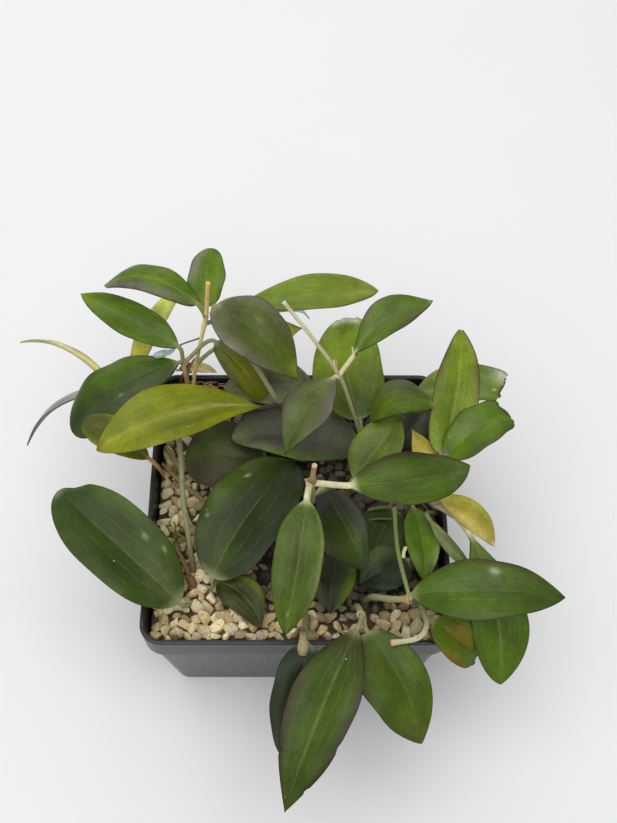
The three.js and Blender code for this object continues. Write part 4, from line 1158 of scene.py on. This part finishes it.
# Loose stones at the top of the fill: each is a ball cut to a few flat places by moving what lies
# beyond them back, then dented, squashed along its own axes and turned.
def makeStones(finish):
    draw = np.random.default_rng(700)
    build = pumiceBuild
    spots, radii = settledStones(draw)
    count = len(spots)
    ball, quads = cubeBall(build["cuts"])
    sizes = radii[:, None] * np.stack([draw.uniform(*limits, count) for limits in build["axes"]], -1)
    shapes = np.repeat(ball[None], count, 0)
    for _ in range(build["facets"]):
        facing = unit(draw.normal(size=(count, 3)))
        level = draw.uniform(*build["facetDepth"], count)
        beyond = np.clip(np.einsum("nij,nj->ni", shapes, facing) - level[:, None], 0, None)
        shapes = shapes - beyond[..., None] * facing[:, None, :]
    dents = 1 + draw.normal(0, build["dents"], (count, len(ball), 1))
    shapes = shapes * build["fullness"] * dents * sizes[:, None, :]
    shapes = np.einsum("nij,nkj->nki", randomTurns(count, draw), shapes) + spots[:, None, :]
    faces = (quads[None] + (np.arange(count) * len(ball))[:, None, None]).reshape(-1, 4)
    shades = np.array([asLight(colour) for colour in build["colours"]])
    light = shades[draw.integers(0, len(shades), count)] * draw.uniform(*build["brightness"], (count, 1))
    # stones inwards of the edges are darkened, part soil and part painted shade under the leaves
    soilAndShade = (soiledAndShaded(spots[:, 0], spots[:, 1]) * draw.uniform(*build["soilAndShadeCover"], count))[:, None]
    light = blend(light, asLight(build["soilAndShadeColour"]), soilAndShade)
    tint = np.repeat(asTint(light), len(ball), 0)
    makePiece("pumice_stones", shapes, faces.tolist(), finish, (), {"tint": tint}, smooth=False)
    print("stones:", count)


# A square with rounded corners as one ring: the first quarter is a corner arc and then a straight
# side, with even steps on both, and the other three are the same turned by right angles.
def roundedRing(width, corner, z, sideSteps=14, arcSteps=12):
    centre = width / 2 - corner
    straight = np.linspace(-1, 1, sideSteps, endpoint=False)[1:] * centre
    bend = np.linspace(0, np.pi / 2, arcSteps)
    arc = np.stack([centre + corner * np.cos(bend), centre + corner * np.sin(bend)], -1)
    top = np.stack([-straight, np.full(len(straight), width / 2)], -1)
    quarter = np.concatenate([arc, top])
    ring = np.concatenate([quarter @ np.array([[np.cos(k), np.sin(k)], [-np.sin(k), np.cos(k)]])
                           for k in np.arange(4) * np.pi / 2])
    return np.concatenate([ring, np.full((len(ring), 1), float(z))], -1)


# The bed under the loose stones, standing for the imported fill: rings up the inside of the pot, then in
# over a lumpy top.
# A row is the width, corner radius and height of a ring.
def makeBed(finish):
    draw = np.random.default_rng(710)
    rows = [(4, 1.5, 1.9), (60, 4, 1.9), (110, 5, 1.9), (126, 5.6, 1.9), (126.6, 5.9, 2.4)]
    rows += between((126.6, 6, 2.4), (141.2, 8, 67), np.linspace(0.1, 1, 10))
    rows += [(141.6, 8, 69), (142.2, 8, 73), (141, 8, 74.6)]
    rows += [(width, min(8, width / 2.2), 75.2) for width in np.linspace(138, 2, 46)]
    skin = np.array([roundedRing(*row) for row in rows])
    top = skin[:, :, 2] > 74
    bumps = pumiceBuild["bedBumps"] * wander(skin[..., 0] / 9, skin[..., 1] / 9, draw, 12, 1.5)
    skin[..., 2] += np.where(top, bumps - 0.4, 0)
    rough = wander(skin[..., 0] / 11, skin[..., 2] / 11 + skin[..., 1] / 13, draw, 10, 1.5)
    skin[..., :2] *= 1 - pumiceBuild["bedRoughness"] * np.abs(rough)[..., None]
    # the bed is darkened the same way, part soil and part painted shade, towards a colour darker still
    soilAndShade = soiledAndShaded(skin[..., 0], skin[..., 1])[..., None]
    light = blend(asLight(pumiceBuild["bed"]), asLight(pumiceBuild["soilAndShadeColour"]) * 0.7, soilAndShade)
    makePiece("pumice_bed", skin, skinFaces(*skin.shape[:2]), finish, ["pumice_fill"],
              {"tint": asTint(light)})
    print("bed: rings", len(rows))


# ---- pot

potBuild = {
    "height": 85.0, "rimWidth": 150.0, "rimLip": 2.5, "bandHeight": 18.0, "bandTaper": 1.6,
    "bandStep": 3.4, "baseWidth": 130.0, "wall": 1.5,
    "rimCorner": 10.5, "bandCorner": 9.5, "wallCorner": 8.5, "insideCorner": 8.0, "baseCorner": 7.4,
    "floorCorner": 5.5,
    "warp": 0.12,             # unevenness of the walls, in mm
    "drainHoleRadius": 6.0, "drainHoleFlare": 0.5, "drainHolePitch": 38.0, "drainHoleSides": 32,
}
potLook = {
    "body": (44, 42, 46),
    "cloud": ((66, 64, 70), 0.8),        # colours, and how strongly each lies over the last
    "band": ((22, 19, 22), 0.85),
    "dust": ((150, 146, 142), 0.2),
    "worn": ((130, 130, 134), 0.3),
    "grit": ((150, 134, 108), 0.25),
    "bandFrom": (0.0665, 0.0675),        # metres above the table
    "wornBelow": (0.0032, 0.0008),
    "levelLines": (25.0, 25.0, 1600.0),  # pattern scales, per metre
    "scuffs": (700.0, 700.0, 30.0),
    "clouds": 28.0,
    "dusting": 160.0,
    "gritGrains": 900.0,
    "grain": 2200.0,
    "roughness": 0.24,
    "relief": (0.25, 0.0002),            # strength, and depth in metres
    "specular": 0.55,
}


# The pot's skin as rings of a rounded square: from the middle of the underside out and up the
# wall, out over the step to the band, over the rounded rim, and down the inside to the floor.
# A row is the width, corner radius and height of a ring.
def potSkin():
    p = potBuild
    base, wall, rim, top = p["baseWidth"], p["wall"], p["rimWidth"], p["height"]
    baseCorner, wallCorner, bandCorner = p["baseCorner"], p["wallCorner"], p["bandCorner"]
    rimCorner, inside, floorCorner = p["rimCorner"], p["insideCorner"], p["floorCorner"]
    foot = top - p["bandHeight"]          # height of the band's foot
    bandFoot = rim - p["bandTaper"]       # the band's width there
    wallTop = bandFoot - p["bandStep"]    # and the wall's
    innerTop, innerBase, innerRim = wallTop - 2 * wall, base - 2 * wall, rim - 2 * p["rimLip"]

    rows = [(width, min(baseCorner, width / 2.3), 0.0) for width in np.linspace(3, base - 3, 20)]
    rows += [(base - 1.4, baseCorner - 0.4, 0.0), (base - 0.5, baseCorner - 0.2, 0.25)]
    rows += [(base, baseCorner, 0.8)]
    rows += between((base, baseCorner, 0), (wallTop, wallCorner, foot), np.linspace(0.03, 0.985, 26))
    rows += [(wallTop + 0.1, wallCorner, foot - 0.5), (wallTop + 0.7, wallCorner + 0.2, foot - 0.1)]
    rows += [(wallTop + 2.4, wallCorner + 0.7, foot), (bandFoot - 0.5, bandCorner - 0.1, foot + 0.05)]
    rows += [(bandFoot - 0.1, bandCorner, foot + 0.4), (bandFoot, bandCorner, foot + 0.9)]
    rows += between((bandFoot, bandCorner, foot), (rim, rimCorner, top), np.linspace(0.1, 0.93, 12))
    rows += [(rim, rimCorner, top - 0.8), (rim - 0.25, rimCorner - 0.1, top - 0.35)]
    rows += [(rim - 0.9, rimCorner - 0.4, top - 0.07), (rim - 1.7, rimCorner - 0.7, top)]
    rows += [(innerRim + 1.5, inside + 0.9, top), (innerRim + 0.5, inside + 0.3, top - 0.2)]
    rows += [(innerRim + 0.05, inside + 0.05, top - 0.7), (innerRim, inside, top - 1.5)]
    rows += between((innerRim, inside, top - 1.5), (innerTop, inside, foot), np.linspace(0.15, 1, 8))
    rows += between((innerTop, inside, foot), (innerBase, inside - 2, wall), np.linspace(0.1, 0.97, 12))
    rows += [(innerBase, floorCorner + 0.4, wall + 0.7), (innerBase - 0.8, floorCorner + 0.2, wall + 0.1)]
    rows += [(innerBase - 2, floorCorner, wall)]
    rows += [(width, min(floorCorner, width / 2.3), wall) for width in np.linspace(innerBase - 5, 3, 20)]
    skin = np.array([roundedRing(*row) for row in rows])
    x, y, z = skin[..., 0], skin[..., 1], skin[..., 2]
    draw = np.random.default_rng(810)
    waves = wander(x / 90, y / 90 + z / 60, draw, 6, 1.2)
    warp = p["warp"] * waves * rise(z, 3, 20) * rise(z, 85, 60)      # none at the foot and the rim
    skin[..., :2] *= (1 + warp / (rim / 2))[..., None]
    return skin


# Drills for the drain holes: upright round bars, wider where they leave the underside, as rings of
# a radius at a height, on a square grid that leaves out the middle.
def drainDrills():
    sides, pitch = potBuild["drainHoleSides"], potBuild["drainHolePitch"]
    radius = potBuild["drainHoleRadius"]
    wider = radius + potBuild["drainHoleFlare"]
    angle = np.linspace(0, 2 * np.pi, sides, endpoint=False)
    ring = np.stack([np.cos(angle), np.sin(angle), np.zeros(sides)], -1)
    bar = np.array([ring * (size, size, 0) + (0, 0, z) for size, z in
                    ((wider, -3), (wider, -0.01), (radius, 0.45), (radius, 5))])
    spots = [(column * pitch, row * pitch, 0) for column in (-1, 0, 1) for row in (-1, 0, 1)
             if column or row]
    faces = []
    for number in range(len(spots)):
        faces += skinFaces(len(bar), sides, number * len(bar) * sides)
    return np.concatenate([(bar + spot).reshape(-1, 3) for spot in spots]), faces


# Black satin plastic: a near-black body with a violet cast, fine level lines on the band,
# upright scuffs and dust on the wall, pale grit, and a worn line at the foot.
def potMaterial():
    material, tree, shader, where = startMaterial("fine_pot_plastic")
    look = potLook
    height = parted(tree, where)[2]
    onBand = fade(tree, height, *look["bandFrom"])
    level = noise(tree, stretched(tree, where, look["levelLines"]), 1.0, 4.0, 0.6)
    upright = noise(tree, stretched(tree, where, look["scuffs"]), 1.0, 4.0, 0.6)
    streaks = node(tree, "ShaderNodeMix", {0: onBand, 2: upright, 3: level}, data_type="FLOAT").outputs[0]
    dust = fitted(tree, streaks, 0.6, noise(tree, where, look["dusting"], 5.0, 0.7))
    dust = fade(tree, dust, 0.84, 1.1)
    masks = {"cloud": noise(tree, where, look["clouds"], 4.0, 0.6),
             "band": onBand,
             "dust": dust,
             "worn": fade(tree, height, *look["wornBelow"]),
             "grit": fade(tree, noise(tree, where, look["gritGrains"], 2.0), 0.7, 0.76)}
    colour = (*asLight(look["body"]), 1.0)
    for name, mask in masks.items():
        shade, strength = look[name]
        colour = overlay(tree, colour, mask, strength, shade)
    shine = fitted(tree, streaks, 0.18, fitted(tree, dust, 0.15, look["roughness"]))
    relief = fitted(tree, streaks, 0.5, noise(tree, where, look["grain"], 2.0))
    finishMaterial(tree, shader, colour, shine, relief, *look["relief"])
    shader.inputs["Specular IOR Level"].default_value = look["specular"]
    return material


# The pot's skin with the drain holes cut through its floor.
def makePot():
    skin = potSkin()
    pot = makePiece("fine_pot", skin, skinFaces(*skin.shape[:2]), potMaterial(), ["pot"])
    points, faces = drainDrills()
    drillMesh = bpy.data.meshes.new("drain_drills")
    drillMesh.from_pydata((points * mm).tolist(), [], faces)
    drills = bpy.data.objects.new("drain_drills", drillMesh)
    bpy.context.scene.collection.objects.link(drills)
    cut = pot.modifiers.new("drain_holes", "BOOLEAN")
    cut.object = drills
    cut.operation = "DIFFERENCE"
    cut.solver = "EXACT"
    bpy.context.view_layer.update()
    shown = pot.evaluated_get(bpy.context.evaluated_depsgraph_get())
    drilled = bpy.data.meshes.new_from_object(shown)
    pot.modifiers.clear()
    pot.data = drilled
    bpy.data.objects.remove(drills)
    drilled.polygons.foreach_set("use_smooth", np.ones(len(drilled.polygons), bool))
    print("pot:", len(drilled.polygons), "faces")


# ---- floor, light and camera

studio = {
    "floor": (240, 240, 241), "floorSize": 8000.0, "floorDrop": 0.1,
    "floorRoughness": 0.6, "floorSpecular": 0.2,
    "sky": 0.53,              # brightness of the light from all round
    "ceiling": {"place": (-150, -350, 1500), "aim": (0, 0, 60), "size": 1500, "power": 13.5},
    "window": {"place": (-250, 1300, 900), "aim": (0, 0, 60), "size": 1300, "power": 5},
}
cameraBuild = {   # place in mm, angles in degrees, lens and sensor in mm
    "place": (3.5, -249.4, 607.1), "down": 60.0, "yaw": 0.4, "roll": 0.45, "lens": 50.0, "sensor": 36.0,
}


# A wide pale floor just under the pot, very slightly speckled.
def makeFloor():
    material, tree, shader, where = startMaterial("pale_floor")
    speckle = fitted(tree, noise(tree, where, 9.0, 3.0), 0.03, 0.985)
    colour = scaled(tree, tuple(asLight(studio["floor"])), speckle)
    tree.links.new(colour, shader.inputs["Base Color"])
    shader.inputs["Roughness"].default_value = studio["floorRoughness"]
    shader.inputs["Specular IOR Level"].default_value = studio["floorSpecular"]
    half, low = studio["floorSize"] / 2 * mm, -studio["floorDrop"] * mm
    mesh = bpy.data.meshes.new("floor")
    mesh.from_pydata([(-half, -half, low), (half, -half, low), (half, half, low), (-half, half, low)],
                     [], [(0, 1, 2, 3)])
    mesh.materials.append(material)
    floor = bpy.data.objects.new("floor", mesh)
    bpy.context.scene.collection.objects.link(floor)


# A place in the world from its own right, up and back directions and its middle.
def turned(right, up, back, place):
    rows = np.column_stack([right, up, back, np.array(place) * mm])
    return Matrix(rows.tolist() + [[0, 0, 0, 1]])


# A square soft light at its place, turned so that its own -Z points at the aim.
def makeLight(name, look):
    place, aim = np.array(look["place"], float), np.array(look["aim"], float)
    back = unit(place - aim)
    right = unit(np.cross((0, 0, 1), back))
    light = bpy.data.lights.new(name, "AREA")
    light.shape = "SQUARE"
    light.size = look["size"] * mm
    light.energy = look["power"]
    lamp = bpy.data.objects.new(name, light)
    lamp.matrix_world = turned(right, np.cross(back, right), back, place)
    bpy.context.scene.collection.objects.link(lamp)


# The camera looks down by its tilt, is turned slightly about the upright, and rolls about its view.
def makeCamera():
    down, yaw, roll = (np.radians(cameraBuild[key]) for key in ("down", "yaw", "roll"))
    view = np.array([np.sin(yaw) * np.cos(down), np.cos(yaw) * np.cos(down), -np.sin(down)])
    level = np.array([np.cos(yaw), -np.sin(yaw), 0])
    upward = np.cross(level, view)
    right = level * np.cos(roll) + upward * np.sin(roll)
    up = -level * np.sin(roll) + upward * np.cos(roll)
    lens = bpy.data.cameras.new("camera")
    lens.lens = cameraBuild["lens"]
    lens.sensor_width = cameraBuild["sensor"]
    lens.clip_end = 50        # metres
    camera = bpy.data.objects.new("camera", lens)
    camera.matrix_world = turned(right, up, -view, cameraBuild["place"])
    bpy.context.scene.collection.objects.link(camera)
    bpy.context.scene.camera = camera


# Camera, floor, both soft lights and an even white sky.
def makeStudio():
    makeCamera()
    makeFloor()
    makeLight("ceiling", studio["ceiling"])
    makeLight("window", studio["window"])
    world = bpy.data.worlds.new("studio")
    world.use_nodes = True
    sky = world.node_tree.nodes["Background"]
    sky.inputs["Color"].default_value = (1, 1, 1, 1)
    sky.inputs["Strength"].default_value = studio["sky"]
    bpy.context.scene.world = world
    bpy.context.scene.view_settings.view_transform = "Standard"
    print("studio ready")


makeStudio()
makePot()
pumiceFinish = pumiceMaterial("fine_pumice")
makeBed(pumiceFinish)
makeStones(pumiceFinish)
stemFinish = stemMaterial()
makeStems(stemFinish)
makeScraps(stemFinish)
makeLeaves()
